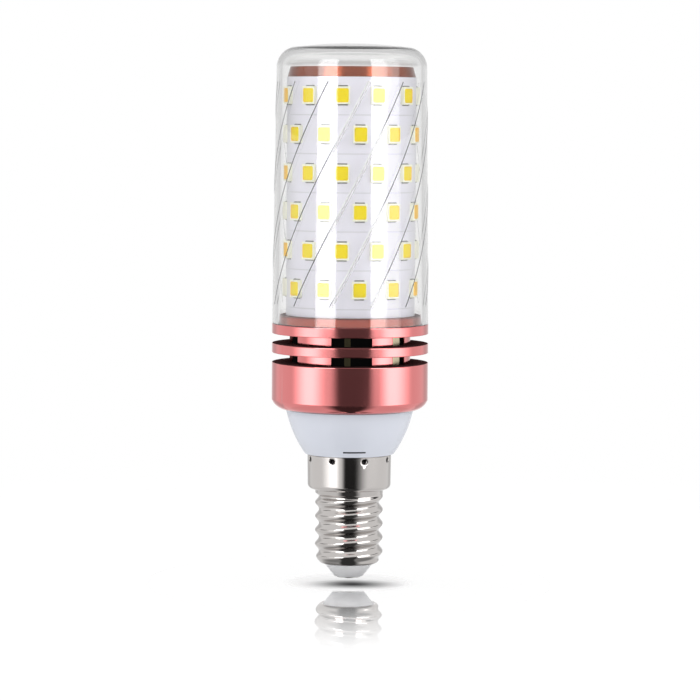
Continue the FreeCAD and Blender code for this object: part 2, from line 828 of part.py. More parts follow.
def make_top_cap():
    """The pressed cap on the LED tube, with a ring that sits inside the tube."""
    top_of_tube = tube_levels()[2]
    top = top_of_tube + size("top_cap_height")
    wall = size("top_cap_wall")
    outer = tube_radius() - size("top_cap_inset")
    ring = tube_radius() - size("board_tube_wall") - size("fit_gap")
    ring_end = top_of_tube - size("top_cap_spigot")
    return turned_body("top_cap", [
        (ring - wall, ring_end),
        (ring, ring_end),
        (ring, top_of_tube),
        (outer, top_of_tube),
        (outer - size("top_cap_draft"), top),
        (0, top),
        (0, top - wall),
        (ring - wall, top - wall),
    ])


def cover_outline(sketch, rim, top):
    """Half section of the cover: a tapered side and a shallow dome, joined by a corner, with an even wall."""
    wall = size("cover_wall")
    foot = cover_rim_radius()
    shoulder = cover_shoulder_radius()
    rise = size("cover_dome_rise")
    corner = size("cover_corner")
    dome = (shoulder * shoulder + rise * rise) / (rise * 2)
    flat = Vector(0, 0, 1)
    corner_centre = Vector((shoulder - corner).number, (top - rise - corner).number, 0)
    dome_centre = Vector(0, (top - dome).number, 0)
    upright = math.pi / 2
    tilt = math.asin(corner_centre.x / (dome - corner).number)
    sides, corners, domes = [], [], []
    for inset in (as_size(0), wall):
        low = Vector((foot - inset).number, rim.number, 0)
        high = Vector((shoulder - inset).number, corner_centre.y, 0)
        sides.append(sketch.addGeometry(Part.LineSegment(low, high)))
        bend = Part.Circle(corner_centre, flat, (corner - inset).number)
        corners.append(sketch.addGeometry(Part.ArcOfCircle(bend, 0, upright - tilt)))
        lid = Part.Circle(dome_centre, flat, (dome - inset).number)
        domes.append(sketch.addGeometry(Part.ArcOfCircle(lid, upright - tilt, upright)))
    low_rim = Vector((foot - wall).number, rim.number, 0)
    rim_line = sketch.addGeometry(Part.LineSegment(low_rim, Vector(foot.number, rim.number, 0)))
    crown = Part.LineSegment(Vector(0, (top - wall).number, 0), Vector(0, top.number, 0))
    axis_line = sketch.addGeometry(crown)
    virtual = sketch.addGeometry(Part.Point(Vector(shoulder.number, (top - rise).number, 0)), True)
    relations = [
        ("Coincident", rim_line, 1, sides[1], 1),
        ("Coincident", rim_line, 2, sides[0], 1),
        ("Coincident", axis_line, 1, domes[1], 2),
        ("Coincident", axis_line, 2, domes[0], 2),
        ("Coincident", corners[0], 3, corners[1], 3),
        ("Coincident", domes[0], 3, domes[1], 3),
        ("PointOnObject", domes[0], 3, -2),
        ("PointOnObject", axis_line, 1, -2),
        ("PointOnObject", virtual, 1, sides[0]),
        ("PointOnObject", virtual, 1, domes[0]),
        ("Horizontal", rim_line),
        ("Parallel", sides[0], sides[1]),
    ]
    for side, bend, lid in zip(sides, corners, domes):
        relations.append(("Tangent", side, 2, bend, 1))
        relations.append(("Tangent", bend, 2, lid, 1))
    for relation in relations:
        sketch.addConstraint(Sketcher.Constraint(*relation))
    place_point(sketch, rim_line, 2, foot, rim)
    place_point(sketch, axis_line, 2, 0, top)
    place_point(sketch, virtual, 1, shoulder, top - rise)
    for name, relation, value in (
        ("Radius", (corners[0],), corner),
        ("DistanceY", (axis_line, 1, axis_line, 2), wall),
    ):
        number = sketch.addConstraint(Sketcher.Constraint(name, *relation, value.number))
        bind(sketch, f"Constraints[{number}]", value)


def make_clear_cover():
    """The clear cover: a tapered sleeve closed by a shallow dome with a rounded corner."""
    top_cap_top = tube_levels()[2] + size("top_cap_height")
    top = top_cap_top + size("cover_headroom") + size("cover_wall")
    body = new_body("clear_cover")
    sketch = new_sketch(body, "clear_cover_section", "XZ_Plane")
    cover_outline(sketch, sink_levels()[-1], top)
    turn_fully(body, sketch, "clear_cover_turning")
    if not sketch.FullyConstrained:
        raise RuntimeError("the cover's section is loose")
    return body


def make_driver_board():
    """The driver's circuit board: wide inside the heat sink, narrow in the cone and the collar."""
    body = new_body("driver_board")
    wide = driver_board_side()
    narrow = size("collar_radius") - size("driver_board_foot_inset")
    bottom, shoulder, top = driver_board_levels()
    sketch = new_sketch(body, "driver_board_outline", "XZ_Plane")
    outline(sketch, [
        (-narrow, bottom),
        (narrow, bottom),
        (narrow, shoulder),
        (wide, shoulder),
        (wide, top),
        (-wide, top),
        (-wide, shoulder),
        (-narrow, shoulder),
    ])
    pad = body.newObject("PartDesign::Pad", "driver_board_pad")
    pad.Profile = sketch
    bind(pad, "Length", size("driver_board_thickness"))
    place_body(body, 0, size("driver_board_back"), 0)
    DOCUMENT.recompute()
    return body


def make_capacitor(label, radius, length, across, bottom):
    """An electrolytic capacitor: a can in its sleeve, with the crimped waist near its base."""
    lift = size("capacitor_waist_lift")
    depth = size("capacitor_waist_depth")
    body = turned_body(label, [
        (0, 0),
        (radius, 0),
        (radius, lift),
        (radius - depth, lift + depth),
        (radius - depth, lift + depth * 2),
        (radius, lift + depth * 3),
        (radius, length),
        (0, length),
    ])
    front = size("driver_board_back") - size("driver_board_thickness")
    place_body(body, across, front - radius, bottom)
    return body


def make_inductor():
    """The inductor's drum core and the copper winding between its flanges."""
    radius = size("inductor_radius")
    length = size("inductor_length")
    flange = size("inductor_flange")
    inner = size("inductor_core_radius")
    core = turned_body("inductor_core", [
        (0, 0),
        (radius, 0),
        (radius, flange),
        (inner, flange),
        (inner, length - flange),
        (radius, length - flange),
        (radius, length),
        (0, length),
    ])
    winding = turned_body("inductor_winding", rectangle(inner, flange, size("winding_radius"), length - flange))
    front = size("driver_board_back") - size("driver_board_thickness")
    bottom = driver_board_levels()[1] + size("inductor_lift")
    for body in (core, winding):
        place_body(body, size("inductor_across"), front - radius, bottom)
    return [core, winding]


def make_board_parts():
    """The parts soldered to the rear face of the driver board."""
    back = size("driver_board_back")
    rectifier_sizes = (size("rectifier_width"), size("rectifier_thickness"), size("rectifier_height"))
    chip_sizes = (size("chip_width"), size("chip_thickness"), size("chip_height"))
    diode_sizes = (size("diode_width"), size("diode_thickness"), size("diode_height"))
    foot, shoulder, _ = driver_board_levels()
    resistor_side = size("resistor_inset") - driver_board_side()
    diode_across = driver_board_side() - size("diode_inset") - size("diode_width") / 2
    blocks = []
    for number in range(int(size("resistor_count").number)):
        bottom = (shoulder + size("resistor_lift")).number + number * size("resistor_pitch").number
        width = size("resistor_width").number
        corner = Vector(resistor_side.number, back.number, bottom)
        thickness = size("resistor_thickness").number
        blocks.append(Part.makeBox(width, thickness, size("resistor_height").number, corner))
    return [
        board_box("bridge_rectifier", rectifier_sizes, 0, back, foot + size("rectifier_lift")),
        board_box("driver_chip", chip_sizes, 0, back, shoulder + size("chip_lift")),
        board_box("freewheel_diode", diode_sizes, diode_across, back, shoulder + size("diode_lift")),
        shaped("chip_resistors", Part.makeCompound(blocks)),
    ]


def make_fuse_resistor():
    """The fusible resistor between the centre contact and the board, with its two straight leads."""
    lead = size("fuse_lead_radius")
    body_radius = size("fuse_radius")
    bottom = size("throat_bottom") + size("fuse_lift")
    top = bottom + size("fuse_length")
    lead_end = size("contact_height") * 2 + size("fit_gap")
    lead_top = driver_board_levels()[0] + size("driver_board_thickness")
    return turned_body("fuse_resistor", [
        (0, lead_end),
        (lead, lead_end),
        (lead, bottom),
        (body_radius, bottom),
        (body_radius, top),
        (lead, top),
        (lead, lead_top),
        (0, lead_top),
    ])


def make_neutral_wire():
    """The wire from the board down the throat, round its end and up between the throat and the shell."""
    radius = size("wire_radius").number
    throat_bore = throat_radius() - size("throat_wall")
    inside = (throat_bore - size("neutral_wire_gap")).number - radius
    outside = throat_radius().number - radius
    bend = (outside - inside) / 2
    turn = size("throat_bottom").number - bend - radius
    top = (driver_board_levels()[0] + size("neutral_wire_overlap")).number
    end = wire_groove_top().number - radius
    points = [
        Vector(-inside, 0, top),
        Vector(-inside, 0, turn),
        Vector(-outside, 0, turn),
        Vector(-outside, 0, end),
    ]
    return shaped("neutral_wire", bent_wire(points, radius, bend * 0.999))


def make_led_leads():
    """The two leads from the top of the driver board to the inside of the LED tube, beside its seam."""
    radius = size("wire_radius").number
    bend = size("led_lead_bend").number
    inner = (tube_radius() - size("board_tube_wall")).number
    start = driver_board_levels()[2].number
    middle = (size("driver_board_back") - size("driver_board_thickness") / 2).number
    rise = start + size("led_lead_rise").number
    leads = []
    for label, side in (("led_lead_positive", 1), ("led_lead_negative", -1)):
        across = side * size("led_lead_across").number
        reach = math.sqrt(inner ** 2 - across ** 2) - radius / 2
        points = [
            Vector(across, middle, start),
            Vector(across, middle, rise),
            Vector(across, reach, rise),
        ]
        leads.append(shaped(label, bent_wire(points, radius, bend)))
    return leads


def check_and_write(pieces):
    """Check every object and every piece, then write one file for each piece."""
    DOCUMENT.recompute()
    for item in DOCUMENT.Objects:
        if "Invalid" in item.State or "Error" in item.State:
            raise RuntimeError(f"{item.Name} did not compute: {item.State}")
    for piece in pieces:
        if piece.Shape.isNull() or not piece.Shape.isValid():
            raise RuntimeError(f"{piece.Label} has no valid shape")
        print(f"{piece.Label}: {len(piece.Shape.Solids)} solids, {piece.Shape.Volume:.1f} mm3")
    os.makedirs("parts", exist_ok=True)
    for piece in pieces:
        piece.Shape.exportStep(f"parts/{piece.Label}.step")


def main():
    """Build all the pieces of the bulb and write them."""
    fill_sheet()
    pieces = [
        make_centre_contact(),
        make_cap_insulator(),
        make_cap_shell(),
        make_driver_housing(),
        make_heat_sink(),
        make_insulating_liner(),
        make_led_board(),
        make_top_cap(),
        make_clear_cover(),
    ]
    pieces += make_leds()
    pieces.append(make_driver_board())
    foot, shoulder, _ = driver_board_levels()
    pieces.append(make_capacitor(
        "bulk_capacitor",
        size("bulk_capacitor_radius"),
        size("bulk_capacitor_length"),
        size("bulk_capacitor_across"),
        shoulder + size("bulk_capacitor_lift"),
    ))
    pieces.append(make_capacitor(
        "output_capacitor",
        size("output_capacitor_radius"),
        size("output_capacitor_length"),
        0,
        foot + size("output_capacitor_lift"),
    ))
    pieces += make_inductor()
    pieces += make_board_parts()
    pieces.append(make_fuse_resistor())
    pieces.append(make_neutral_wire())
    pieces += make_led_leads()
    check_and_write(pieces)


main()
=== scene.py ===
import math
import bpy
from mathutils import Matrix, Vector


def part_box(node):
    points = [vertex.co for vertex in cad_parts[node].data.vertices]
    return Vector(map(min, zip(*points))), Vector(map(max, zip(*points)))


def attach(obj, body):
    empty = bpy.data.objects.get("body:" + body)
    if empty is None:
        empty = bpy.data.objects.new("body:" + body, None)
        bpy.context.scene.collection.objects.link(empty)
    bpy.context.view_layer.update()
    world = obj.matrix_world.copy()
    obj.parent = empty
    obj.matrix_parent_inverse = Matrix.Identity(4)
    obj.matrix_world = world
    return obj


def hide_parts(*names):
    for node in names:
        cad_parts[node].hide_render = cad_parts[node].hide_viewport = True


bl_info = {
    "name": "Corn LED bulb",
    "version": (1, 0, 0),
    "blender": (4, 5, 0),
    "location": "View3D > Sidebar > Bulb",
    "description": "Dresses the corn LED bulb with its clear cover, LEDs, finishes and studio",
    "category": "Object",
}

import bmesh
import bpy
import numpy as np
from bpy.props import FloatProperty, FloatVectorProperty, IntProperty, PointerProperty
from mathutils import Matrix, Vector

# The bulb stands on its centre contact at the origin, with its axis along +Z. Azimuths count from the
# front, the -Y side, and grow towards +X.

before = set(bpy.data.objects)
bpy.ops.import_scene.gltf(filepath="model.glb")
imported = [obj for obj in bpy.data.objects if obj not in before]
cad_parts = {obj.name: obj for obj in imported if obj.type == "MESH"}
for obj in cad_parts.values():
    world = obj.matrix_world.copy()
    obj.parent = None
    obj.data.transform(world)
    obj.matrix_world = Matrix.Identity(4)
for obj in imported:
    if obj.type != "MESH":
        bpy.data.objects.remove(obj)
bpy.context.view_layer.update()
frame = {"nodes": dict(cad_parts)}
BOX = {name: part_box(name) for name in frame["nodes"]}
MM = 0.001
WHITE = (1.0, 1.0, 1.0, 1.0)

# Points round the cover and the top cap, points round the heat sink and the screw shell, steps along the
# cover's corner and along its dome, and steps up the screw thread.
ROUND_STEPS = 192
FINE_STEPS = 360
DOME_STEPS = 24
THREAD_ROWS = 112

# A point of a section with a smaller radius than this lies on the axis.
ON_AXIS = 1e-7


def top_of(node):
    """Highest level of a node of the frame."""
    return BOX[node][1].z


def foot_of(node):
    """Lowest level of a node of the frame."""
    return BOX[node][0].z


def radius_of(node):
    """Largest radius of a round node of the frame."""
    return BOX[node][1].x


def length(description, name, default, high=1.0):
    """A length in metres that the panel shows."""
    return FloatProperty(
        name=name, description=description, default=default, min=0.0, max=high, unit="LENGTH", precision=5
    )


def angle(description, name, degrees):
    """An angle that the panel shows in degrees."""
    return FloatProperty(name=name, description=description, default=math.radians(degrees), unit="ROTATION")


def colour(description, name, default):
    """A linear colour."""
    return FloatVectorProperty(
        name=name, description=description, default=default, size=3, min=0.0, max=1.0, subtype="COLOR"
    )


def share(description, name, default, high=1.0):
    """A plain number."""
    return FloatProperty(name=name, description=description, default=default, min=0.0, max=high)


class CoverSettings(bpy.types.PropertyGroup):
    """The clear cover and its helical ribs."""

    wall: length("Wall of the cover", "Wall", 1.15 * MM)
    draft: length("How much narrower the cover is at its dome", "Draft", 0.67 * MM)
    dome_rise: length("Rise of the dome", "Dome rise", 1.3 * MM)
    corner: length("Rounding between side and dome", "Corner", 4.0 * MM)
    gate_radius: length("Radius of the moulding mark in the dome", "Gate radius", 1.1 * MM)
    gate_depth: length("Depth of that mark", "Gate depth", 0.2 * MM)
    rib_count: IntProperty(name="Ribs", description="Helical ribs round the cover", default=12, min=1)
    rib_radius: length("Radius of a rib's section", "Rib radius", 0.11 * MM)
    rib_foot: length("Lower end of the ribs above the cover's rim", "Rib foot", 4.0 * MM)
    rib_height: length("Height that the ribs climb", "Rib height", 44.5 * MM)
    rib_twist: angle("Angle that a rib turns as it climbs", "Rib twist", 87.7)
    rib_azimuth: angle("Azimuth of the first rib's lower end", "Rib azimuth", 14.4)
    refraction: share("Index of refraction of the clear plastic", "Refraction", 1.58, 3.0)
    # The glints are painted highlights beside the ribs.
    glint_radius: length("Radius of the broad glint along a rib", "Glint radius", 0.3 * MM)
    glint_shift: angle("How far the glints lie beside their ribs", "Glint shift", 1.5)
    # Painted shade: the dark grey that the clear ribs get beside the front.
    rib_painted_dark: colour("Colour of the ribs", "Rib colour", (0.12, 0.12, 0.13))


class LedSettings(bpy.types.PropertyGroup):
    """The LED packages and where they sit."""

    columns: IntProperty(name="Columns", description="LEDs in a row", default=12, min=1)
    rows: IntProperty(name="Rows", description="Rows of LEDs", default=6, min=1)
    pitch: length("Distance between the rows", "Row pitch", 7.68 * MM)
    first_row: length("Lowest row's middle above the board's lower end", "First row", 7.58 * MM)
    stagger: angle("Angle between one row and the next", "Stagger", 15.0)
    width: length("Package width", "Width", 2.8 * MM)
    height: length("Package height", "Height", 3.5 * MM)
    thickness: length("Package thickness", "Thickness", 0.7 * MM)
    frame: length("White frame beside the window", "Side frame", 0.17 * MM)
    end_frame: length("White frame above and below the window", "End frame", 0.35 * MM)
    recess: length("Depth of the window", "Recess", 0.12 * MM)
    rounding: length("Rounding of the window's corners", "Rounding", 0.35 * MM)
    pad_width: length("Width of the solder at each end", "Solder width", 1.9 * MM)
    pad_reach: length("How far the solder shows past the package", "Solder reach", 0.25 * MM)
    package: colour("Colour of the package", "Package", (1.0, 1.0, 0.82))
    phosphor: colour("Colour of the phosphor", "Phosphor", (1.0, 0.80, 0.0))
    slanting: colour("Colour of the phosphor seen at a slant", "Slanting phosphor", (1.0, 0.56, 0.02))
    # Partly painted shade: the solder's dark grey also stands for the shade at the package's ends.
    solder: colour("Colour of the solder", "Solder", (0.20, 0.20, 0.17))


class BoardSettings(bpy.types.PropertyGroup):
    """The rolled LED board."""

    mask: colour("Solder mask", "Mask", (0.87, 0.86, 0.94))
    # This colour also gives the board its painted shade where it is seen at a slant.
    trace: colour("Gap between two copper areas under the mask", "Trace gap", (0.72, 0.72, 0.77))
    gap: share("Half the width of those gaps, as a share of the row pitch", "Gap", 0.012)


class MetalSettings(bpy.types.PropertyGroup):
    """The rose-gold metal of the heat sink and the top cap."""

    fit: length("Clearance between pieces pushed together", "Fit", 0.05 * MM)
    shoulder: length("Flat ring on the underside, out from the bore", "Underside", 1.25 * MM)
    corner: length("Height of the rounded lower corner", "Corner height", 2.0 * MM)
    corner_radius: length("Radius of that rounding", "Corner radius", 3.0 * MM)
    groove: length("Height of a groove", "Groove", 1.97 * MM)
    groove_wall: length("Metal between the bore and a groove", "Groove wall", 0.55 * MM)
    fin: length("Fin between the grooves", "Fin", 1.9 * MM)
    flange: length("Flange under the cover", "Flange", 2.0 * MM)
    neck_gap: length("Gap between the cover and the neck inside it", "Neck gap", 0.3 * MM)
    front_azimuth: angle("Middle of the wide window", "Front window", 1.7)
    front_width: angle("Width of the wide window", "Its width", 39.0)
    right_azimuth: angle("Middle of the narrow window", "Right window", 53.6)
    right_width: angle("Width of the narrow window", "Its width", 19.2)
    left_azimuth: angle("Middle of the window at the left", "Left window", -74.5)
    left_width: angle("Width of the window at the left", "Its width", 31.0)
    window_lip: length("Metal left above each window", "Window lip", 0.2 * MM)
    tube_wall: length("Wall of the LED tube", "Tube wall", 0.8 * MM)
    cap_wall: length("Metal of the top cap", "Cap wall", 0.8 * MM)
    cap_draft: length("How much narrower the cap is above", "Cap draft", 0.55 * MM)
    sink: colour("Anodised heat sink", "Heat sink", (0.70, 0.22, 0.22))
    neck: colour("Anodised neck inside the cover", "Neck", (0.40, 0.10, 0.07))
    # Painted shade: the dark colour that the heat sink's flat faces get in place of metal.
    flat: colour("Its flat faces, which lie in each other's shade", "Flat faces", (0.09, 0.04, 0.04))
    cap: colour("Anodised top cap", "Top cap", (0.26, 0.065, 0.03))
    roughness: share("Roughness of the heat sink", "Roughness", 0.1)
    cap_roughness: share("Roughness of the top cap", "Cap roughness", 0.2)
    edge: length("Broken edge of the turned metal", "Edge", 0.12 * MM)

    def windows(self):
        """Middle and width of each window as angles."""
        return (
            (self.front_azimuth, self.front_width),
            (self.right_azimuth, self.right_width),
            (self.left_azimuth, self.left_width),
        )


class ShellSettings(bpy.types.PropertyGroup):
    """The screw shell with its collar, and the end of the cap."""

    root: length("Radius of the thread's root", "Root", 6.1 * MM)
    depth: length("Depth of the thread", "Depth", 0.8 * MM)
    pitch: length("Pitch of the thread", "Pitch", 2.822 * MM)
    first_crest: length("Height of the lowest crest on the +X side", "First crest", 5.35 * MM)
    thread_top: length("Where the thread ends", "Thread top", 17.3 * MM)
    curl_reach: length("How far the mouth curls in", "Curl reach", 0.7 * MM)
    curl_height: length("Height of that curl", "Curl height", 0.6 * MM)
    lead_in: length("Height over which the thread grows", "Lead-in", 1.8 * MM)
    neck: length("Plain neck above the thread", "Neck", 0.75 * MM)
    rounding: length("Rounding under the collar", "Rounding", 1.0 * MM)
    draft: length("How much narrower the collar is below", "Draft", 0.08 * MM)
    wall: length("Sheet of the shell", "Sheet", 0.3 * MM)
    stakes: IntProperty(name="Stakes", description="Punched marks round the collar", default=8, min=1)
    stake_azimuth: angle("Azimuth of the first mark", "Stake azimuth", 21.1)
    stake_drop: length("Distance of the marks below the rim", "Stake drop", 1.0 * MM)
    stake_radius: length("Radius of a mark", "Stake radius", 0.7 * MM)
    stake_depth: length("Depth of a mark", "Stake depth", 0.4 * MM)
    nickel: colour("Nickel plating", "Nickel", (0.54, 0.515, 0.50))
    roughness: share("Roughness of the plating", "Roughness", 0.1)
    insulator: colour("Insulator at the tip", "Insulator", (0.98, 0.98, 1.0))


class HousingSettings(bpy.types.PropertyGroup):
    """The white housing and the parts inside the bulb."""

    white: colour("White plastic", "White", (0.70, 0.73, 0.81))
    liner: colour("Insulating liner", "Liner", (0.008, 0.008, 0.008))
    # Painted shade: a thin dark band on the housing stands for the slot in shadow.
    slot_lift: length("Latch slot in the housing above the collar's rim", "Slot lift", 1.05 * MM)
    slot_height: length("Height of that slot", "Slot height", 0.3 * MM)
    slot_azimuth: angle("Middle of that slot", "Slot azimuth", 6.1)
    slot_width: angle("Width of that slot", "Slot width", 27.0)
    # Painted reflection: a metallic patch on the black liner in the narrow window.
    foil: colour("Foil that shows in the narrow window", "Foil", (0.60, 0.52, 0.36))
    painted_reflection_azimuth: angle("Middle of the foil", "Foil azimuth", 53.0)
    painted_reflection_width: angle("Width of the foil", "Foil width", 11.0)
    # Painted reflection: a faint patch on the black liner in the wide window.
    faint: colour("Faint patch in the wide window", "Faint patch", (0.10, 0.09, 0.05))
    faint_azimuth: angle("Middle of that patch", "Faint azimuth", -2.5)
    faint_width: angle("Width of that patch", "Faint width", 6.0)


class StudioSettings(bpy.types.PropertyGroup):
    """Camera, lamps and floor."""

    camera_distance: length("Distance from the axis to the camera", "Distance", 0.6247, high=10)
    camera_height: length("Height of the camera above the tip", "Height", 93.5 * MM, high=10)
    camera_pitch: angle("How far the camera looks down", "Pitch", 4.335)
    camera_lean: angle("Lean of the bulb in the picture, to the right", "Lean", 0.4)
    camera_lens: FloatProperty(name="Lens", description="Focal length in millimetres", default=159.4)
    ambient: share("Level of the room's light on dull surfaces", "Ambient", 0.72, 4.0)
    fill: share("Radiance of the soft lamps at the front and the sides", "Fill", 1.0, 20.0)
    lamp_distance: length("Distance of the lamps from the bulb", "Lamp distance", 0.6, high=10)
    lamp_level: share("Radiance of the brightest strip lamps", "Lamp level", 3.4, 20.0)
    low_level: share("Level of the grey card under the floor", "Low card", 0.9)
    back_level: share("Level of the grey card at the back, beside its middle", "Back card", 0.6)
    floor_drop: length("How far the floor lies below the tip", "Floor drop", 1.25 * MM)
    floor_radius: length("Radius of the floor", "Floor radius", 0.30)


GROUPS = {
    "bulb_cover": CoverSettings,
    "bulb_leds": LedSettings,
    "bulb_board": BoardSettings,
    "bulb_metal": MetalSettings,
    "bulb_shell": ShellSettings,
    "bulb_housing": HousingSettings,
    "bulb_studio": StudioSettings,
}


def tube_radius():
    """Outer radius of the LED board."""
    return -BOX["led_board"][0].y


def placed(name, data):
    """A new object in the scene."""
    made = bpy.data.objects.new(name, data)
    bpy.context.scene.collection.objects.link(made)
    return made


def link(name, mesh):
    """A finished piece of the bulb from a mesh in the bulb's own frame."""
    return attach(placed(name, mesh), "root")


def mesh_from(name, vertices, faces):
    """A mesh with smooth shading from vertices and faces."""
    mesh = bpy.data.meshes.new(name)
    mesh.from_pydata([tuple(map(float, v)) for v in vertices], [], faces)
    mesh.validate()
    mesh.polygons.foreach_set("use_smooth", [True] * len(mesh.polygons))
    return mesh


def sharpen(mesh, degrees):
    """Mark edges sharper than an angle, so that smooth shading stops at them."""
    work = bmesh.new()
    work.from_mesh(mesh)
    limit = math.radians(degrees)
    for edge in work.edges:
        edge.smooth = len(edge.link_faces) != 2 or edge.calc_face_angle() < limit
    work.to_mesh(mesh)
    work.free()


def even_turns(steps):
    """Angles evenly spaced round the axis."""
    return [math.tau * step / steps for step in range(steps)]


def turned(name, section, turns, openings=()):
    """A closed mesh turned about the axis from a closed section of (radius, height) points.

    The points are given anticlockwise, and a radius may be a function of the angle. Points on the axis become
    one vertex each. An opening goes through a wall: it names the outer edge of the section by its lower and
    upper point, the inner one likewise, and its first and last angle.
    """
    steps = len(turns)
    vertices, rings = [], []
    for radius, height in section:
        radii = [radius(turn) if callable(radius) else radius for turn in turns]
        if max(radii) < ON_AXIS:
            rings.append([len(vertices)] * steps)
            vertices.append((0.0, 0.0, height))
        else:
            rings.append(list(range(len(vertices), len(vertices) + steps)))
            vertices += [(r * math.cos(turn), r * math.sin(turn), height) for r, turn in zip(radii, turns)]
    left_out, faces = set(), []
    for outer_low, outer_high, inner_high, inner_low, first, last in openings:
        start, end = turns.index(first), turns.index(last)
        corners = [rings[i] for i in (outer_low, outer_high, inner_high, inner_low)]
        for step in ((start + i) % steps for i in range((end - start) % steps)):
            following = (step + 1) % steps
            left_out |= {(outer_low, step), (inner_high, step)}
            for near, far in ((corners[3], corners[0]), (corners[1], corners[2])):
                faces.append([near[step], far[step], far[following], near[following]])
        faces.append([ring[start] for ring in corners[::-1]])
        faces.append([ring[end] for ring in corners])
    for level, (lower, upper) in enumerate(zip(rings, rings[1:] + rings[:1])):
        for step in range(steps):
            following = (step + 1) % steps
            corners = [lower[step], lower[following], upper[following], upper[step]]
            face = [v for i, v in enumerate(corners) if v != corners[i - 1]]
            if len(face) > 2 and (level, step) not in left_out:
                faces.append(face)
    return mesh_from(name, vertices, faces)


def softened(section, soft, edge):
    """The section with these corners rounded off by a small edge, and firm points on both sides of each."""
    firm = 1.4
    points = []
    for index, corner in enumerate(section):
        if index not in soft:
            points.append(corner)
            continue
        corner = Vector(corner)
        neighbours = (section[index - 1], section[(index + 1) % len(section)])
        before, after = [(Vector(other) - corner).normalized() * edge for other in neighbours]
        points.append(tuple(corner + before * firm))
        for part in (0.0, 0.25, 0.5, 0.75, 1.0):
            points.append(tuple(corner + before * (1 - part) ** 2 + after * part ** 2))
        points.append(tuple(corner + after * firm))
    return points


def arc(centre, radius, start, finish, steps):
    """Points on an arc in a section, from one angle to another in degrees."""
    turns = np.radians(np.linspace(start, finish, steps + 1))
    return [(centre[0] + radius * math.cos(t), centre[1] + radius * math.sin(t)) for t in turns]


def material(name, base, roughness, metallic=0.0, **values):
    """A new material on one shader node, its plain values set on the node's own sockets."""
    made = bpy.data.materials.new(name)
    made.use_nodes = True
    shader = made.node_tree.nodes["Principled BSDF"]
    shader.inputs["Base Color"].default_value = (*base, 1.0)
    shader.inputs["Roughness"].default_value = roughness
    shader.inputs["Metallic"].default_value = metallic
    for socket, value in values.items():
        shader.inputs[socket.replace("_", " ")].default_value = value
    return made


def shader_of(made):
    """The main shader node of a material."""
    return made.node_tree.nodes["Principled BSDF"]


def drive(made, socket, value):
    """Link the output of a node to a socket of a material's main shader."""
    connect(made.node_tree, value, shader_of(made).inputs[socket])


def connect(tree, value, socket):
    """Link a socket to a node's first output or to the output given, or else set it to a plain value."""
    if isinstance(value, bpy.types.Node):
        value = value.outputs[0]
    if isinstance(value, bpy.types.NodeSocket):
        tree.links.new(value, socket)
    else:
        socket.default_value = value


def node(tree, kind, inputs=None, **settings):
    """Add a node to a tree, set it up and connect its inputs."""
    added = tree.nodes.new(kind)
    for name, value in settings.items():
        setattr(added, name, value)
    for key, value in (inputs or {}).items():
        connect(tree, value, added.inputs[key])
    return added


def maths(tree, operation, *values):
    """The result of a maths node."""
    return node(tree, "ShaderNodeMath", dict(enumerate(values)), operation=operation).outputs[0]


def away(tree, value, middle):
    """How far a value lies from a middle one, on either side."""
    return maths(tree, "ABSOLUTE", maths(tree, "SUBTRACT", value, middle))


def fade(tree, value, start, finish, low, high):
    """A smooth change from one level to another as a value passes between two limits."""
    inputs = {"Value": value, "From Min": start, "From Max": finish, "To Min": low, "To Max": high}
    return node(tree, "ShaderNodeMapRange", inputs, interpolation_type="SMOOTHSTEP").outputs[0]


def blend(tree, factor, first, second):
    """A colour between two, each a plain colour or the output of a node."""
    added = node(tree, "ShaderNodeMix", {"Factor": factor}, data_type="RGBA")
    for socket, value in zip(added.inputs[6:8], (first, second)):
        if isinstance(value, bpy.types.NodeSocket):
            tree.links.new(value, socket)
        else:
            socket.default_value = (*value, 1.0)
    return added.outputs[2]


def place_in(tree):
    """The place on a piece, in its own coordinates, as three numbers."""
    place = node(tree, "ShaderNodeTexCoord").outputs["Object"]
    return node(tree, "ShaderNodeSeparateXYZ", {0: place}).outputs


def azimuth_in(tree):
    """The azimuth of the place on a piece."""
    place = place_in(tree)
    return maths(tree, "ARCTAN2", place["X"], maths(tree, "MULTIPLY", place["Y"], -1.0))


def slant_in(tree):
    """How much a surface is seen at a slant, from 0 to 1."""
    return node(tree, "ShaderNodeLayerWeight", {"Blend": 0.5}).outputs["Facing"]


def paint(cad_node, made):
    """Give a node of the frame its material."""
    piece = frame["nodes"][cad_node]
    piece.data.materials.clear()
    piece.data.materials.append(made)


def make_clear_plastic(name, refraction):
    """Clear plastic that refracts what is seen through it; light from the lamps and deep rays pass unbent."""
    deepest = 6.5
    made = material(name, (1.0, 1.0, 1.0), 0.02, Transmission_Weight=1.0, IOR=refraction)
    tree = made.node_tree
    rays = node(tree, "ShaderNodeLightPath").outputs
    unbent = node(tree, "ShaderNodeBsdfTransparent", {"Color": (0.96, 0.96, 0.97, 1.0)})
    deep = maths(tree, "GREATER_THAN", rays["Ray Depth"], deepest)
    mixed = node(tree, "ShaderNodeMixShader", {
        0: maths(tree, "MAXIMUM", rays["Is Shadow Ray"], deep),
        1: shader_of(made),
        2: unbent,
    })
    connect(tree, mixed, tree.nodes["Material Output"].inputs["Surface"])
    return made


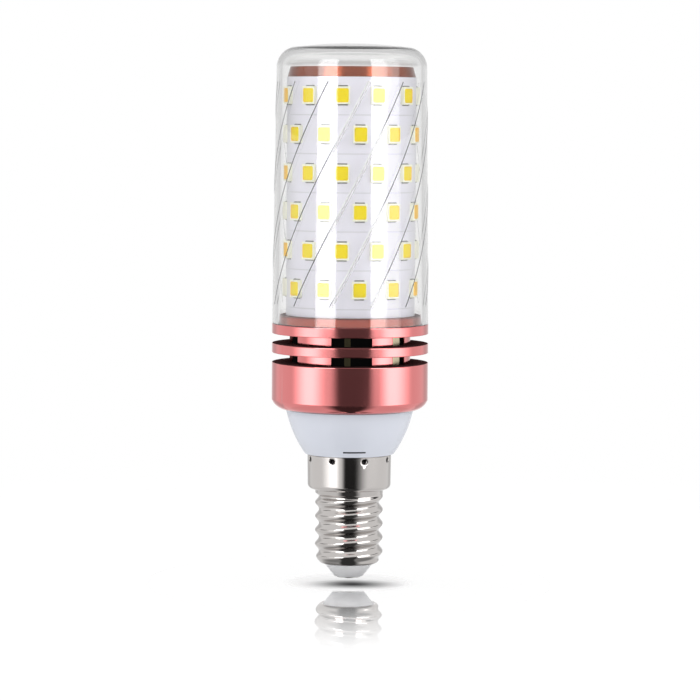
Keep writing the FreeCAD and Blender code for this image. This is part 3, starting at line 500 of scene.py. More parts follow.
def cover_profile(settings, inset):
    """The cover's side, corner and dome from the rim up to the axis, moved inwards by an inset."""
    halvings = 60
    rim = foot_of("clear_cover")
    top = top_of("clear_cover")
    foot = radius_of("clear_cover")
    shoulder = foot - settings.draft
    rise = settings.dome_rise
    dome = (shoulder ** 2 + rise ** 2) / (2 * rise)
    dome_centre = top - dome
    slope = math.atan2(settings.draft, top - rise - rim)
    # The corner's centre lies one corner radius inside both the side and the dome.
    low, high = rim, top - rise
    for _ in range(halvings):
        level = (low + high) / 2
        side = foot - (level - rim) * math.tan(slope) - settings.corner / math.cos(slope)
        if math.hypot(side, level - dome_centre) < dome - settings.corner:
            low = level
        else:
            high = level
    lean = math.degrees(math.atan2(side, level - dome_centre))
    corner = arc((side, level), settings.corner - inset, math.degrees(slope), 90 - lean, DOME_STEPS)
    lid = arc((0.0, dome_centre), dome - inset, 90 - lean, 90, DOME_STEPS)
    lid[-1] = (0.0, top - inset)
    # A point just below the corner keeps the shading of the straight side even.
    below = 0.2 * MM
    firm = (corner[0][0] + below * math.tan(slope), corner[0][1] - below)
    return [(foot - inset / math.cos(slope), rim), firm] + corner + lid[1:]


def with_gate_mark(settings, outside):
    """The cover's outside with the round moulding mark sunk in the middle of its dome."""
    gate = settings.gate_radius
    clear = 1.4 * gate
    edge = outside[-1][1] - 0.01 * MM
    points = [point for point in outside[:-1] if point[0] > clear]
    # Radii and depths as shares of the mark's own: round it, at its edge, at its foot and in its middle.
    for part, depth in ((1.2, 0.0), (1.0, 0.1), (0.9, 1.0), (0.0, 1.0)):
        points.append((gate * part, edge - settings.gate_depth * depth))
    return points


class BULB_OT_cover(bpy.types.Operator):
    """Build the clear cover"""

    bl_idname = "bulb.cover"
    bl_label = "Clear cover"

    def execute(self, context):
        settings = context.scene.bulb_cover
        outside = with_gate_mark(settings, cover_profile(settings, 0.0))
        inside = cover_profile(settings, settings.wall)
        mesh = turned("cover_shell", outside + inside[::-1], even_turns(ROUND_STEPS))
        sharpen(mesh, degrees=40)
        mesh.materials.append(make_clear_plastic("clear_plastic_cover", settings.refraction))
        cover = link("cover_shell", mesh)
        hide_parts("clear_cover")
        return {"FINISHED"}


def new_tree(name, sockets):
    """A Geometry Nodes tree with named inputs and one geometry output."""
    tree = bpy.data.node_groups.new(name, "GeometryNodeTree")
    tree.interface.new_socket("Geometry", in_out="OUTPUT", socket_type="NodeSocketGeometry")
    for socket, kind in sockets.items():
        tree.interface.new_socket(socket, in_out="INPUT", socket_type=f"NodeSocket{kind}")
    return tree, tree.nodes.new("NodeGroupInput")


def close_tree(tree, points, piece, turn, finish):
    """End a tree in real copies of a piece on these points, each turned about the axis, in one material."""
    copies = node(tree, "GeometryNodeInstanceOnPoints", {
        "Points": points,
        "Instance": piece,
        "Rotation": node(tree, "ShaderNodeCombineXYZ", {"Z": turn}),
    })
    real = node(tree, "GeometryNodeRealizeInstances", {"Geometry": copies})
    dressed = node(tree, "GeometryNodeSetMaterial", {"Geometry": real, "Material": finish})
    node(tree, "NodeGroupOutput", {0: dressed})


def run_tree(name, tree, values):
    """Run a tree once with these input values, and return its result as a plain mesh."""
    carrier = placed(f"{name}_carrier", bpy.data.meshes.new(f"{name}_carrier"))
    modifier = carrier.modifiers.new(name, "NODES")
    modifier.node_group = tree
    sockets = {item.name: item.identifier for item in tree.interface.items_tree if item.in_out == "INPUT"}
    for socket, value in values.items():
        modifier[sockets[socket]] = value
    carrier.update_tag()
    ready = carrier.evaluated_get(bpy.context.evaluated_depsgraph_get())
    mesh = bpy.data.meshes.new_from_object(ready)
    mesh.name = name
    carrier.modifiers.clear()
    bpy.data.objects.remove(carrier)
    if not mesh.polygons:
        raise RuntimeError(f"{name} came out empty")
    return mesh


def rib_tree():
    """Helical ribs on a cone, evenly spaced round the axis."""
    tree, given = new_tree("HelicalRibs", {
        "Count": "Int",
        "Lower Radius": "Float",
        "Upper Radius": "Float",
        "Foot": "Float",
        "Height": "Float",
        "Turns": "Float",
        "Start": "Float",
        "Rib Radius": "Float",
        "Material": "Material",
    })
    inputs = given.outputs
    helix = node(tree, "GeometryNodeCurveSpiral", {
        "Resolution": 160,
        "Rotations": inputs["Turns"],
        "Start Radius": inputs["Lower Radius"],
        "End Radius": inputs["Upper Radius"],
        "Height": inputs["Height"],
        "Reverse": True,
    })
    section = node(tree, "GeometryNodeCurvePrimitiveCircle", {
        "Resolution": 6,
        "Radius": inputs["Rib Radius"],
    })
    rib = node(tree, "GeometryNodeCurveToMesh", {
        "Curve": helix,
        "Profile Curve": section,
        "Fill Caps": True,
    })
    level = node(tree, "ShaderNodeCombineXYZ", {"Z": inputs["Foot"]})
    points = node(tree, "GeometryNodeMeshLine", {
        "Count": inputs["Count"],
        "Start Location": level,
        "Offset": (0.0, 0.0, 0.0),
    })
    step = maths(tree, "DIVIDE", math.tau, inputs["Count"])
    number = node(tree, "GeometryNodeInputIndex")
    turn = maths(tree, "MULTIPLY_ADD", number, step, inputs["Start"])
    close_tree(tree, points, rib, turn, inputs["Material"])
    return tree


def in_front(tree, inner, outer):
    """A share that is 1 at the dark middle of the cover and falls to 0 between two angles beside it."""
    middle = math.radians(5)
    aside = away(tree, azimuth_in(tree), middle)
    return fade(tree, aside, math.radians(inner), math.radians(outer), 1.0, 0.0)


def make_rib_finish(settings):
    """Ribs with painted light: a painted white highlight in front of the dark middle and painted dark grey
    beside it.
    """
    made = material("rib_grey", settings.rib_painted_dark, 0.1, Alpha=0.75)
    tree = made.node_tree
    front = in_front(tree, inner=14, outer=24)
    drive(made, "Base Color", blend(tree, front, settings.rib_painted_dark, (1.0, 1.0, 1.0)))
    return made


def make_glint_finish():
    """A painted highlight: a faint white band that shows only near the front."""
    strongest = 0.3
    made = material("rib_glint", (1.0, 1.0, 1.0), 0.3)
    tree = made.node_tree
    drive(made, "Alpha", maths(tree, "MULTIPLY", in_front(tree, inner=16, outer=26), strongest))
    return made


class BULB_OT_ribs(bpy.types.Operator):
    """Build the helical ribs on the cover, each with a faint glint of painted highlight beside it"""

    bl_idname = "bulb.ribs"
    bl_label = "Helical ribs"

    def execute(self, context):
        settings = context.scene.bulb_cover
        rim = foot_of("clear_cover")
        foot_radius = radius_of("clear_cover")
        slope = settings.draft / (top_of("clear_cover") - settings.dome_rise - rim)
        tree = rib_tree()
        # Each is sunk into the cover by a depth counted in its own radii.
        for name, radius, shift, depth, finish in (
            ("cover_ribs", settings.rib_radius, 0.0, 0.5, make_rib_finish(settings)),
            # The glints are strips of painted highlight.
            ("cover_glints", settings.glint_radius, settings.glint_shift, 0.9, make_glint_finish()),
        ):
            lower = foot_radius - slope * settings.rib_foot - radius * depth
            mesh = run_tree(name, tree, {
                "Count": settings.rib_count,
                "Lower Radius": lower,
                "Upper Radius": lower - slope * settings.rib_height,
                "Foot": rim + settings.rib_foot,
                "Height": settings.rib_height,
                "Turns": settings.rib_twist / math.tau,
                "Start": settings.rib_azimuth + shift - math.pi / 2,
                "Rib Radius": radius,
                "Material": finish,
            })
            link(name, mesh)
        return {"FINISHED"}


def rows_tree():
    """Copies of one piece in staggered rows round the axis."""
    tree, given = new_tree("StaggeredRows", {
        "Piece": "Object",
        "Columns": "Int",
        "Rows": "Int",
        "First Row": "Float",
        "Pitch": "Float",
        "Stagger": "Float",
        "Material": "Material",
    })
    inputs = given.outputs
    total = maths(tree, "MULTIPLY", inputs["Columns"], inputs["Rows"])
    points = node(tree, "GeometryNodeMeshLine", {"Count": total, "Offset": (0.0, 0.0, 0.0)})
    number = node(tree, "GeometryNodeInputIndex")
    row = maths(tree, "FLOOR", maths(tree, "DIVIDE", number, inputs["Columns"]))
    column = maths(tree, "MODULO", number, inputs["Columns"])
    height = maths(tree, "MULTIPLY_ADD", row, inputs["Pitch"], inputs["First Row"])
    moved = node(tree, "GeometryNodeSetPosition", {
        "Geometry": points,
        "Position": node(tree, "ShaderNodeCombineXYZ", {"Z": height}),
    })
    side = maths(tree, "SUBTRACT", 0.5, maths(tree, "MODULO", row, 2.0))
    step = maths(tree, "DIVIDE", math.tau, inputs["Columns"])
    offset = maths(tree, "MULTIPLY", side, inputs["Stagger"])
    turn = maths(tree, "MULTIPLY_ADD", column, step, offset)
    piece = node(tree, "GeometryNodeObjectInfo", {"Object": inputs["Piece"], "As Instance": True})
    close_tree(tree, moved, piece.outputs["Geometry"], turn, inputs["Material"])
    return tree


def rounded_rectangle(half_width, half_height, rounding, steps=3):
    """Corners of a rounded rectangle, anticlockwise from the lower right."""
    points = []
    for side_x, side_z, start in ((1, -1, -90), (1, 1, 0), (-1, 1, 90), (-1, -1, 180)):
        centre = (side_x * (half_width - rounding), side_z * (half_height - rounding))
        points += arc(centre, rounding, start, start + 90, steps)
    return points


def stacked(name, loops):
    """A mesh that joins loops of points one after another and closes the first and the last with a face."""
    vertices = [point for loop in loops for point in loop]
    count = len(loops[0])
    faces = [list(range(count))[::-1]]
    for level in range(len(loops) - 1):
        base = level * count
        for i in range(count):
            j = (i + 1) % count
            faces.append([base + i, base + j, base + count + j, base + count + i])
    faces.append([(len(loops) - 1) * count + i for i in range(count)])
    return mesh_from(name, vertices, faces)


def facing_loop(outline, distance):
    """A loop of (across, up) points set at a distance in front of the axis."""
    return [(across, -distance, up) for across, up in outline]


def window_half(settings):
    """Half the width and half the height of the window in an LED package."""
    return settings.width / 2 - settings.frame, settings.height / 2 - settings.end_frame


def package_mesh(settings):
    """One LED package: a block with a rounded window sunk in its face."""
    half_width, half_height = settings.width / 2, settings.height / 2
    sunk, soft = 0.1 * MM, 0.08 * MM
    back = tube_radius() - sunk
    face = tube_radius() + settings.thickness
    outer = rounded_rectangle(half_width, half_height, soft)
    brow = rounded_rectangle(half_width - soft, half_height - soft, soft)
    opening = rounded_rectangle(*window_half(settings), settings.rounding)
    mesh = stacked("led_package", [
        facing_loop(outer, back),
        facing_loop(outer, face - soft),
        facing_loop(brow, face),
        facing_loop(opening, face),
        facing_loop(opening, face - settings.recess),
    ])
    sharpen(mesh, degrees=30)
    return mesh


def phosphor_mesh(settings):
    """The phosphor in one package: a slightly domed lens that fills the window."""
    face = tube_radius() + settings.thickness
    loops = []
    # The size of each loop as a share of the window, and its depth as a share of the recess.
    for scale, depth in ((1.0, 1.2), (1.0, 0.5), (0.8, 0.25)):
        half = [side * scale for side in window_half(settings)]
        outline = rounded_rectangle(*half, settings.rounding * scale)
        loops.append(facing_loop(outline, face - settings.recess * depth))
    return stacked("phosphor_lens", loops)


def solder_mesh(settings):
    """The two solder fillets of one package, above and below it."""
    sunk, climb = 0.02 * MM, 0.45
    bottom = tube_radius() - sunk
    top = tube_radius() + settings.thickness * climb
    half = settings.pad_width / 2
    vertices, faces = [], []
    for side in (-1, 1):
        near = side * settings.height / 2
        far = near + side * settings.pad_reach
        base = len(vertices)
        for across in (-half, half):
            vertices += [(across, -bottom, near), (across, -top, near), (across, -bottom, far)]
        left, right = (0, 1, 2), (3, 4, 5)
        faces += [[base + i for i in left], [base + i for i in right[::-1]]]
        for i, j in ((0, 1), (1, 2), (2, 0)):
            faces.append([base + left[j], base + left[i], base + right[i], base + right[j]])
    mesh = mesh_from("solder", vertices, faces)
    work = bmesh.new()
    work.from_mesh(mesh)
    bmesh.ops.recalc_face_normals(work, faces=work.faces)
    work.to_mesh(mesh)
    work.free()
    sharpen(mesh, degrees=20)
    return mesh


def make_phosphor(settings):
    """Yellow silicone, a touch more orange where it is seen at a slant."""
    made = material("phosphor_yellow", settings.phosphor, 0.35, Specular_IOR_Level=0.0)
    tree = made.node_tree
    begins, ends = 0.42, 0.75
    slanting = fade(tree, slant_in(tree), begins, ends, 0.0, 1.0)
    drive(made, "Base Color", blend(tree, slanting, settings.phosphor, settings.slanting))
    return made


class BULB_OT_leds(bpy.types.Operator):
    """Build the LED packages, their phosphor and their solder in staggered rows"""

    bl_idname = "bulb.leds"
    bl_label = "LEDs"

    def execute(self, context):
        settings = context.scene.bulb_leds
        tree = rows_tree()
        package = material("led_package", settings.package, 0.4)
        # The solder's dark grey is partly painted shade at the package's ends.
        solder = material("solder_grey", settings.solder, 0.35, 0.6)
        for name, pattern, finish, stands_for, slot in (
            ("led_packages", package_mesh(settings), package, "led_housings", "led_white"),
            ("led_lenses", phosphor_mesh(settings), make_phosphor(settings), "led_phosphors", "phosphor"),
            ("led_solder", solder_mesh(settings), solder, None, None),
        ):
            template = placed(f"{name}_pattern", pattern)
            mesh = run_tree(name, tree, {
                "Piece": template,
                "Columns": settings.columns,
                "Rows": settings.rows,
                "First Row": foot_of("led_board") + settings.first_row,
                "Pitch": settings.pitch,
                "Stagger": settings.stagger,
                "Material": finish,
            })
            bpy.data.objects.remove(template)
            piece = link(name, mesh)
            if stands_for:
                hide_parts(stands_for)
        return {"FINISHED"}


class BULB_OT_board(bpy.types.Operator):
    """Finish the rolled board in white solder mask over its copper areas, with painted shade where it is seen
    at a slant
    """

    bl_idname = "bulb.board"
    bl_label = "LED board"

    def execute(self, context):
        settings = context.scene.bulb_board
        leds = context.scene.bulb_leds
        made = material("white_mask", settings.mask, 0.3)
        tree = made.node_tree
        level = maths(tree, "SUBTRACT", place_in(tree)["Z"], foot_of("led_board") + leds.first_row)
        rows = maths(tree, "DIVIDE", level, leds.pitch)
        between = away(tree, maths(tree, "FRACT", rows), 0.5)
        soft_edge = settings.gap * 1.6
        line = fade(tree, between, settings.gap, soft_edge, 1.0, 0.0)
        plain = blend(tree, line, settings.mask, settings.trace)
        # Painted shade: the board darkens towards the trace colour where it is seen at a slant.
        begins, ends = 0.4, 0.9
        shade = fade(tree, slant_in(tree), begins, ends, 0.0, 1.0)
        drive(made, "Base Color", blend(tree, shade, plain, settings.trace))
        paint("led_board", made)
        return {"FINISHED"}


def arc_through(start, finish, radius, steps):
    """Points on an arc that bulges outwards and down between two points of a section."""
    start, finish = Vector(start), Vector(finish)
    chord = finish - start
    rise = math.sqrt(radius ** 2 - (chord.length / 2) ** 2)
    centre = (start + finish) / 2 + Vector((-chord.y, chord.x)).normalized() * rise
    first, last = [math.degrees(math.atan2(p.y - centre.y, p.x - centre.x)) for p in (start, finish)]
    return arc(centre, radius, first, last, steps)


def window_angles(settings):
    """First and last angle of each window, which repeats on the far side."""
    spans = []
    for centre, width in settings.windows():
        for side in (0.0, math.pi):
            ends = [centre + side - math.pi / 2 + half * width / 2 for half in (-1, 1)]
            spans.append(tuple(end % math.tau for end in ends))
    return spans


def sink_mesh(settings):
    """The heat sink: body, fin, flange and neck, two grooves between, and windows through their floors."""
    cover = bpy.context.scene.bulb_cover
    foot, neck_top = foot_of("heat_sink"), top_of("heat_sink")
    outer = BOX["heat_sink"][1].y
    bore = radius_of("insulating_liner") + settings.fit
    floor = bore + settings.groove_wall
    seat, seat_foot = tube_radius() + settings.fit, foot_of("led_board")
    flange_top = foot_of("clear_cover")
    neck = radius_of("clear_cover") - cover.wall - settings.neck_gap
    flange_bottom = flange_top - settings.flange
    fin_top = flange_bottom - settings.groove
    fin_bottom = fin_top - settings.fin
    body_top = fin_bottom - settings.groove
    lower_lip, upper_lip = fin_bottom - settings.window_lip, flange_bottom - settings.window_lip
    underside, side = (bore + settings.shoulder, foot), (outer, foot + settings.corner)
    section = [
        (bore, foot),
        *arc_through(underside, side, settings.corner_radius, 10),
        (outer, body_top),
        (floor, body_top),
        (floor, lower_lip),
        (floor, fin_bottom),
        (outer, fin_bottom),
        (outer, fin_top),
        (floor, fin_top),
        (floor, upper_lip),
        (floor, flange_bottom),
        (outer, flange_bottom),
        (outer, flange_top),
        (neck, flange_top),
        (neck, neck_top),
        (seat, neck_top),
        (seat, seat_foot),
        (bore, seat_foot),
        (bore, upper_lip),
        (bore, fin_top),
        (bore, lower_lip),
        (bore, body_top),
    ]
    soft = [i for i, point in enumerate(section) if point[0] == outer and point[1] >= body_top]
    soft.append(section.index((neck, neck_top)))
    rounded = softened(section, soft, settings.edge)
    spans = window_angles(settings)
    turns = sorted({end for span in spans for end in span} | set(even_turns(FINE_STEPS)))
    openings = []
    for low, high in ((body_top, lower_lip), (fin_top, upper_lip)):
        corners = [rounded.index(point) for point in ((floor, low), (floor, high), (bore, high), (bore, low))]
        openings += [(*corners, first, last) for first, last in spans]
    mesh = turned("heat_sink_turned", rounded, turns, openings)
    sharpen(mesh, degrees=15)
    return mesh


def cap_mesh(settings):
    """The pressed cap on the LED tube, with its ring inside the tube."""
    outer, foot, top = radius_of("top_cap"), foot_of("top_cap"), top_of("top_cap")
    seat = top_of("led_board")
    ring = tube_radius() - settings.tube_wall - settings.fit
    inner = ring - settings.cap_wall
    shoulder, brow = (outer, seat), (outer - settings.cap_draft, top)
    section = [
        (inner, foot),
        (ring, foot),
        (ring, seat),
        shoulder,
        brow,
        (0.0, top),
        (0.0, top - settings.cap_wall),
        (inner, top - settings.cap_wall),
    ]
    soft = (section.index(shoulder), section.index(brow))
    mesh = turned("top_cap_pressed", softened(section, soft, settings.edge), even_turns(ROUND_STEPS))
    sharpen(mesh, degrees=15)
    return mesh


def make_sink_finish(settings):
    """Rose-gold metal, darker and more coppery on the neck, with painted shade on its flat faces, which lie
    in each other's shade, and along the neck's upper edge.
    """
    made = material("rose_gold_turned", settings.sink, settings.roughness, 1.0)
    tree = made.node_tree
    normal = node(tree, "ShaderNodeNewGeometry").outputs["Normal"]
    rise = maths(tree, "ABSOLUTE", node(tree, "ShaderNodeSeparateXYZ", {0: normal}).outputs["Z"])
    side_ends, flat_begins = 0.85, 0.98
    upright = fade(tree, rise, side_ends, flat_begins, 1.0, 0.0)
    height = place_in(tree)["Z"]
    on_neck = maths(tree, "GREATER_THAN", height, foot_of("clear_cover") + 0.05 * MM)
    below = maths(tree, "SUBTRACT", top_of("heat_sink"), height)
    # Painted shade along the neck's upper edge.
    brim_shade = 0.75
    brim = fade(tree, below, 0.15 * MM, 0.4 * MM, brim_shade, 0.0)
    plain = blend(tree, on_neck, settings.sink, settings.neck)
    wall = blend(tree, brim, plain, settings.flat)
    # Painted shade: the flat faces take the flat colour and lose their metal and their sheen.
    drive(made, "Base Color", blend(tree, upright, settings.flat, wall))
    drive(made, "Metallic", upright)
    drive(made, "Specular IOR Level", maths(tree, "MULTIPLY", upright, 0.5))
    return made


class BULB_OT_metal(bpy.types.Operator):
    """Build the heat sink and the top cap in turned rose-gold metal"""

    bl_idname = "bulb.metal"
    bl_label = "Heat sink and top cap"

    def execute(self, context):
        settings = context.scene.bulb_metal
        pressed = material("rose_gold_pressed", settings.cap, settings.cap_roughness, 1.0)
        for mesh, finish, cad_node, slot in (
            (sink_mesh(settings), make_sink_finish(settings), "heat_sink", "rose_gold"),
            (cap_mesh(settings), pressed, "top_cap", "rose_gold_cap"),
        ):
            mesh.materials.append(finish)
            piece = link(mesh.name, mesh)
            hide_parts(cad_node)
        return {"FINISHED"}


def thread_radius(settings, turn, height):
    """Radius of the shell's outside in the threaded stretch."""
    crest = settings.root + settings.depth
    phase = (height - settings.first_crest) / settings.pitch - turn / math.tau
    ridge = settings.depth * (0.5 + 0.5 * math.cos(math.tau * phase))
    grown = min(1.0, max(0.0, (height - foot_of("cap_shell")) / settings.lead_in))
    filled = min(1.0, max(0.0, 1.0 - (settings.thread_top - height) / settings.depth))
    radius = settings.root + ridge * grown
    return radius + (crest - radius) * filled


def stake_dent(settings, turn, height):
    """Depth of the punched marks at a place on the collar."""
    steepness = 1.6
    step = math.tau / settings.stakes
    azimuth = turn + math.pi / 2 - settings.stake_azimuth
    nearest = azimuth - round(azimuth / step) * step
    middle = top_of("cap_shell") - settings.stake_drop
    distance = math.hypot(nearest * radius_of("cap_shell"), height - middle)
    inside = max(0.0, 1.0 - distance / settings.stake_radius)
    return settings.stake_depth * min(1.0, inside * steepness)


def shell_section(settings):
    """The shell's outside and inside, from the mouth up and back down."""
    bottom, rim, outer = foot_of("cap_shell"), top_of("cap_shell"), radius_of("cap_shell")
    wall = settings.wall
    lower = outer - settings.draft
    crest = settings.root + settings.depth
    mouth = settings.root - settings.curl_reach
    curl_top = bottom + settings.curl_height
    neck_top = settings.thread_top + settings.neck
    collar_foot = neck_top + settings.rounding
    marks = rim - settings.stake_drop
    # Half the height of the stretch that holds the marks, where the rows lie closer.
    band = settings.stake_radius * 1.1

    def side(turn, height):
        straight = lower + settings.draft * (height - collar_foot) / (rim - collar_foot)
        return straight - stake_dent(settings, turn, height)

    section = []
    for radius, height in arc((mouth, curl_top), settings.curl_height, -90, 0, 5)[:-1]:
        part = (radius - mouth) / settings.curl_height
        section.append((mouth + settings.curl_reach * part, height))
    for height in np.linspace(curl_top, settings.thread_top, THREAD_ROWS + 1):
        section.append((lambda turn, h=height: thread_radius(settings, turn, h), height))
    section += [(crest, neck_top - 0.1 * MM), (crest + 0.1 * MM, neck_top)]
    section += arc((lower - settings.rounding, collar_foot), settings.rounding, -90, 0, 8)
    for height in (
        collar_foot + 0.05 * MM,
        *np.linspace(collar_foot, marks - band, 6)[1:],
        *np.linspace(marks - band, marks + band, 12)[1:],
        rim - wall / 2 - 0.05 * MM,
        rim - wall / 2,
    ):
        section.append((lambda turn, h=height: side(turn, h), height))
    section += arc((outer - wall / 2, rim - wall / 2), wall / 2, 0, 180, 6)[1:]
    return section + [
        (lower - wall * 2, marks - band),
        (lower - wall * 2, collar_foot),
        (crest - wall, neck_top + wall),
        (settings.root - wall, settings.thread_top - settings.depth),
        (settings.root - wall, curl_top),
        (mouth - wall, bottom + wall / 2),
    ]


def make_nickel(settings):
    """Nickel plating, with painted shade: black in the punched marks and dark along the collar's rim."""
    made = material("nickel", settings.nickel, settings.roughness, 1.0)
    tree = made.node_tree
    dent = node(tree, "ShaderNodeAttribute", attribute_name="dent").outputs["Fac"]
    below = maths(tree, "SUBTRACT", top_of("cap_shell"), place_in(tree)["Z"])
    rim_shade = 0.55
    rim = fade(tree, below, 0.1 * MM, 0.35 * MM, rim_shade, 0.0)
    # Painted shade: black in the punched marks and dark along the rim.
    mark = maths(tree, "MAXIMUM", rim, fade(tree, dent, 0.1, 0.6, 0.0, 1.0))
    drive(made, "Base Color", blend(tree, mark, settings.nickel, (0.01, 0.01, 0.01)))
    return made


class BULB_OT_shell(bpy.types.Operator):
    """Build the screw shell with its rolled thread and its staked collar"""

    bl_idname = "bulb.shell"
    bl_label = "Screw shell"

    def execute(self, context):
        settings = context.scene.bulb_shell
        mesh = turned("screw_shell", shell_section(settings), even_turns(FINE_STEPS))
        sharpen(mesh, degrees=60)
        places = [vertex.co for vertex in mesh.vertices]
        # The marks' depth at each point, for the painted shade in them.
        dents = [stake_dent(settings, math.atan2(p.y, p.x), p.z) / settings.stake_depth for p in places]
        mesh.attributes.new("dent", "FLOAT", "POINT").data.foreach_set("value", dents)
        mesh.materials.append(make_nickel(settings))
        shell = link("screw_shell", mesh)
        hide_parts("cap_shell")
        return {"FINISHED"}


class BULB_OT_tip(bpy.types.Operator):
    """Finish the insulator and the centre contact"""

    bl_idname = "bulb.tip"
    bl_label = "Insulator and contact"

    def execute(self, context):
        settings = context.scene.bulb_shell
        paint("cap_insulator", material("pale_insulator", settings.insulator, 0.35))
        paint("centre_contact", material("contact_metal", (0.5, 0.5, 0.48), 0.3, 1.0))
        return {"FINISHED"}


def patch(tree, azimuth, width):
    """1 within an angle round this azimuth, 0 elsewhere."""
    return maths(tree, "LESS_THAN", away(tree, azimuth_in(tree), azimuth), width / 2)


class BULB_OT_housing(bpy.types.Operator):
    """Finish the white housing with a painted shadow in its slot, and the black liner with painted
    reflections
    """

    bl_idname = "bulb.housing"
    bl_label = "Housing and liner"

    def execute(self, context):
        settings = context.scene.bulb_housing
        white = material("white_plastic", settings.white, 0.25)
        tree = white.node_tree
        # Painted shade: a thin dark band on the housing just above the collar's rim, where the slot lies in
        # shadow.
        level = away(tree, place_in(tree)["Z"], top_of("cap_shell") + settings.slot_lift)
        thin = maths(tree, "LESS_THAN", level, settings.slot_height / 2)
        slot = maths(tree, "MULTIPLY", patch(tree, settings.slot_azimuth, settings.slot_width), thin)
        drive(white, "Base Color", blend(tree, slot, settings.white, settings.liner))
        paint("driver_housing", white)
        black = material("black_film", settings.liner, 0.25, Specular_IOR_Level=0.0)
        tree = black.node_tree
        # Painted reflections on the black liner: a metallic patch in the narrow window and a faint one in the
        # wide window.
        foil = patch(tree, settings.painted_reflection_azimuth, settings.painted_reflection_width)
        faint = patch(tree, settings.faint_azimuth, settings.faint_width)
        dull = blend(tree, faint, settings.liner, settings.faint)
        drive(black, "Base Color", blend(tree, foil, dull, settings.foil))
        drive(black, "Metallic", foil)
        paint("insulating_liner", black)
        return {"FINISHED"}


class BULB_OT_driver(bpy.types.Operator):
    """Finish the parts of the driver inside the housing"""

    bl_idname = "bulb.driver"
    bl_label = "Driver"

    def execute(self, context):
        black = material("moulded_black", (0.02, 0.02, 0.02), 0.5)
        sleeve = material("sleeve_black", (0.02, 0.02, 0.04), 0.25)
        finishes = {
            "driver_board": material("green_mask", (0.02, 0.18, 0.06), 0.35),
            "bulk_capacitor": sleeve,
            "output_capacitor": sleeve,
            "inductor_core": material("ferrite", (0.07, 0.07, 0.08), 0.6),
            "inductor_winding": material("copper_winding", (0.60, 0.22, 0.09), 0.35, 1.0),
            "bridge_rectifier": black,
            "driver_chip": black,
            "freewheel_diode": black,
            "chip_resistors": material("resistor_glaze", (0.03, 0.03, 0.04), 0.3),
            "fuse_resistor": material("fuse_green", (0.16, 0.34, 0.25), 0.5),
            "neutral_wire": material("wire_black", (0.02, 0.02, 0.02), 0.45),
            "led_lead_positive": material("wire_red", (0.40, 0.01, 0.01), 0.45),
            "led_lead_negative": black,
        }
        for cad_node, made in finishes.items():
            paint(cad_node, made)
        return {"FINISHED"}


def direction(azimuth):
    """Unit vector of an azimuth in degrees."""
    turn = math.radians(azimuth)
    return Vector((math.sin(turn), -math.cos(turn), 0.0))


def hide(thing, *rays):
    """Hide an object from these kinds of rays."""
    for kind in rays:
        setattr(thing, f"visible_{kind}", False)


# Strip lamps that show in the cover and leave dull surfaces alone, and soft lamps that only light dull
# surfaces: name, first and last azimuth, and share of the full level.
STRIPS = (
    ("cover_left", -52.7, -22.1, 1.0),
    ("cover_right", 30.6, 55.5, 1.0),
    ("cover_far_right", 55.5, 79.0, 0.38),
)
FILLS = (
    ("front_fill", -40, 40, 0.5),
    ("left_fill", -120, -70, 1),
    ("right_fill", 70, 120, 1),
)


def add_lamp(name, azimuths, distance, heights, level, hidden_from):
    """A rectangular lamp that faces the axis and spans two azimuths seen from it, at this radiance."""
    low, high = azimuths
    data = bpy.data.lights.new(name, "AREA")
    data.shape = "RECTANGLE"
    data.size = 2 * distance * math.tan(math.radians((high - low) / 2))
    data.size_y = heights[1] - heights[0]
    data.energy = level * math.pi * data.size * data.size_y
    lamp = placed(name, data)
    place = direction((low + high) / 2) * distance
    turn = (-place).to_track_quat("-Z", "Y")
    place.z = (heights[0] + heights[1]) / 2
    lamp.matrix_world = Matrix.Translation(place) @ turn.to_matrix().to_4x4()
    hide(lamp, *hidden_from)


def add_overhead_lamp(size, height, level):
    """A round lamp straight above the bulb, which only dull surfaces see, at this radiance."""
    data = bpy.data.lights.new("overhead_lamp", "AREA")
    data.shape = "DISK"
    data.size = size
    data.energy = level * math.pi * math.pi * (size / 2) ** 2
    lamp = placed("overhead_lamp", data)
    lamp.location = (0.0, 0.0, height)
    hide(lamp, "camera", "glossy", "transmission")


# Cards that mirror-like surfaces see: name, azimuths between which the left edge fades in and the right one
# out, lower and upper end, and level inside. Outside their soft edges they have the room's own level of 1.
# Each is named after what it shows in; the last two stand behind the bulb.
CARDS = (
    ("cover_dark", -20.1, -20.0, 29.0, 29.1, 0.06, 0.45, 0.03),
    ("cover_side_left", -128.0, -104.0, -84.0, -66.0, 0.095, 0.22, 0.05),
    ("cover_side_right", 66.0, 80.0, 104.0, 128.0, 0.095, 0.22, 0.05),
    ("sink_dark", -32.0, -14.0, 25.0, 40.0, -0.030, 0.06, 0.12),
    ("sink_left", -96.0, -63.0, -59.0, -32.0, -0.030, 0.02, 3.2),
    ("sink_right", 40.0, 62.0, 67.0, 106.0, -0.030, 0.02, 3.2),
    ("collar_dark", -24.0, -10.0, 14.0, 56.0, -0.30, -0.030, 0.02),
    ("collar_left", -84.0, -45.0, -38.0, -24.0, -0.11, -0.030, 2.2),
    ("back_left", -172.0, -156.0, -146.0, -130.0, -0.30, 0.60, 0.7),
    ("back_right", 130.0, 146.0, 156.0, 172.0, -0.30, 0.60, 0.7),
)


def upright(name, left, right, bottom, top, distance):
    """A flat upright rectangle that faces the bulb and spans two azimuths."""
    middle = (left + right) / 2
    centre = direction(middle) * distance
    across = direction(middle + 90) * distance * math.tan(math.radians((right - left) / 2))
    corners = ((-1, bottom), (1, bottom), (1, top), (-1, top))
    vertices = [(*(centre + across * side).xy, height) for side, height in corners]
    return mesh_from(name, vertices, [[0, 1, 2, 3]])


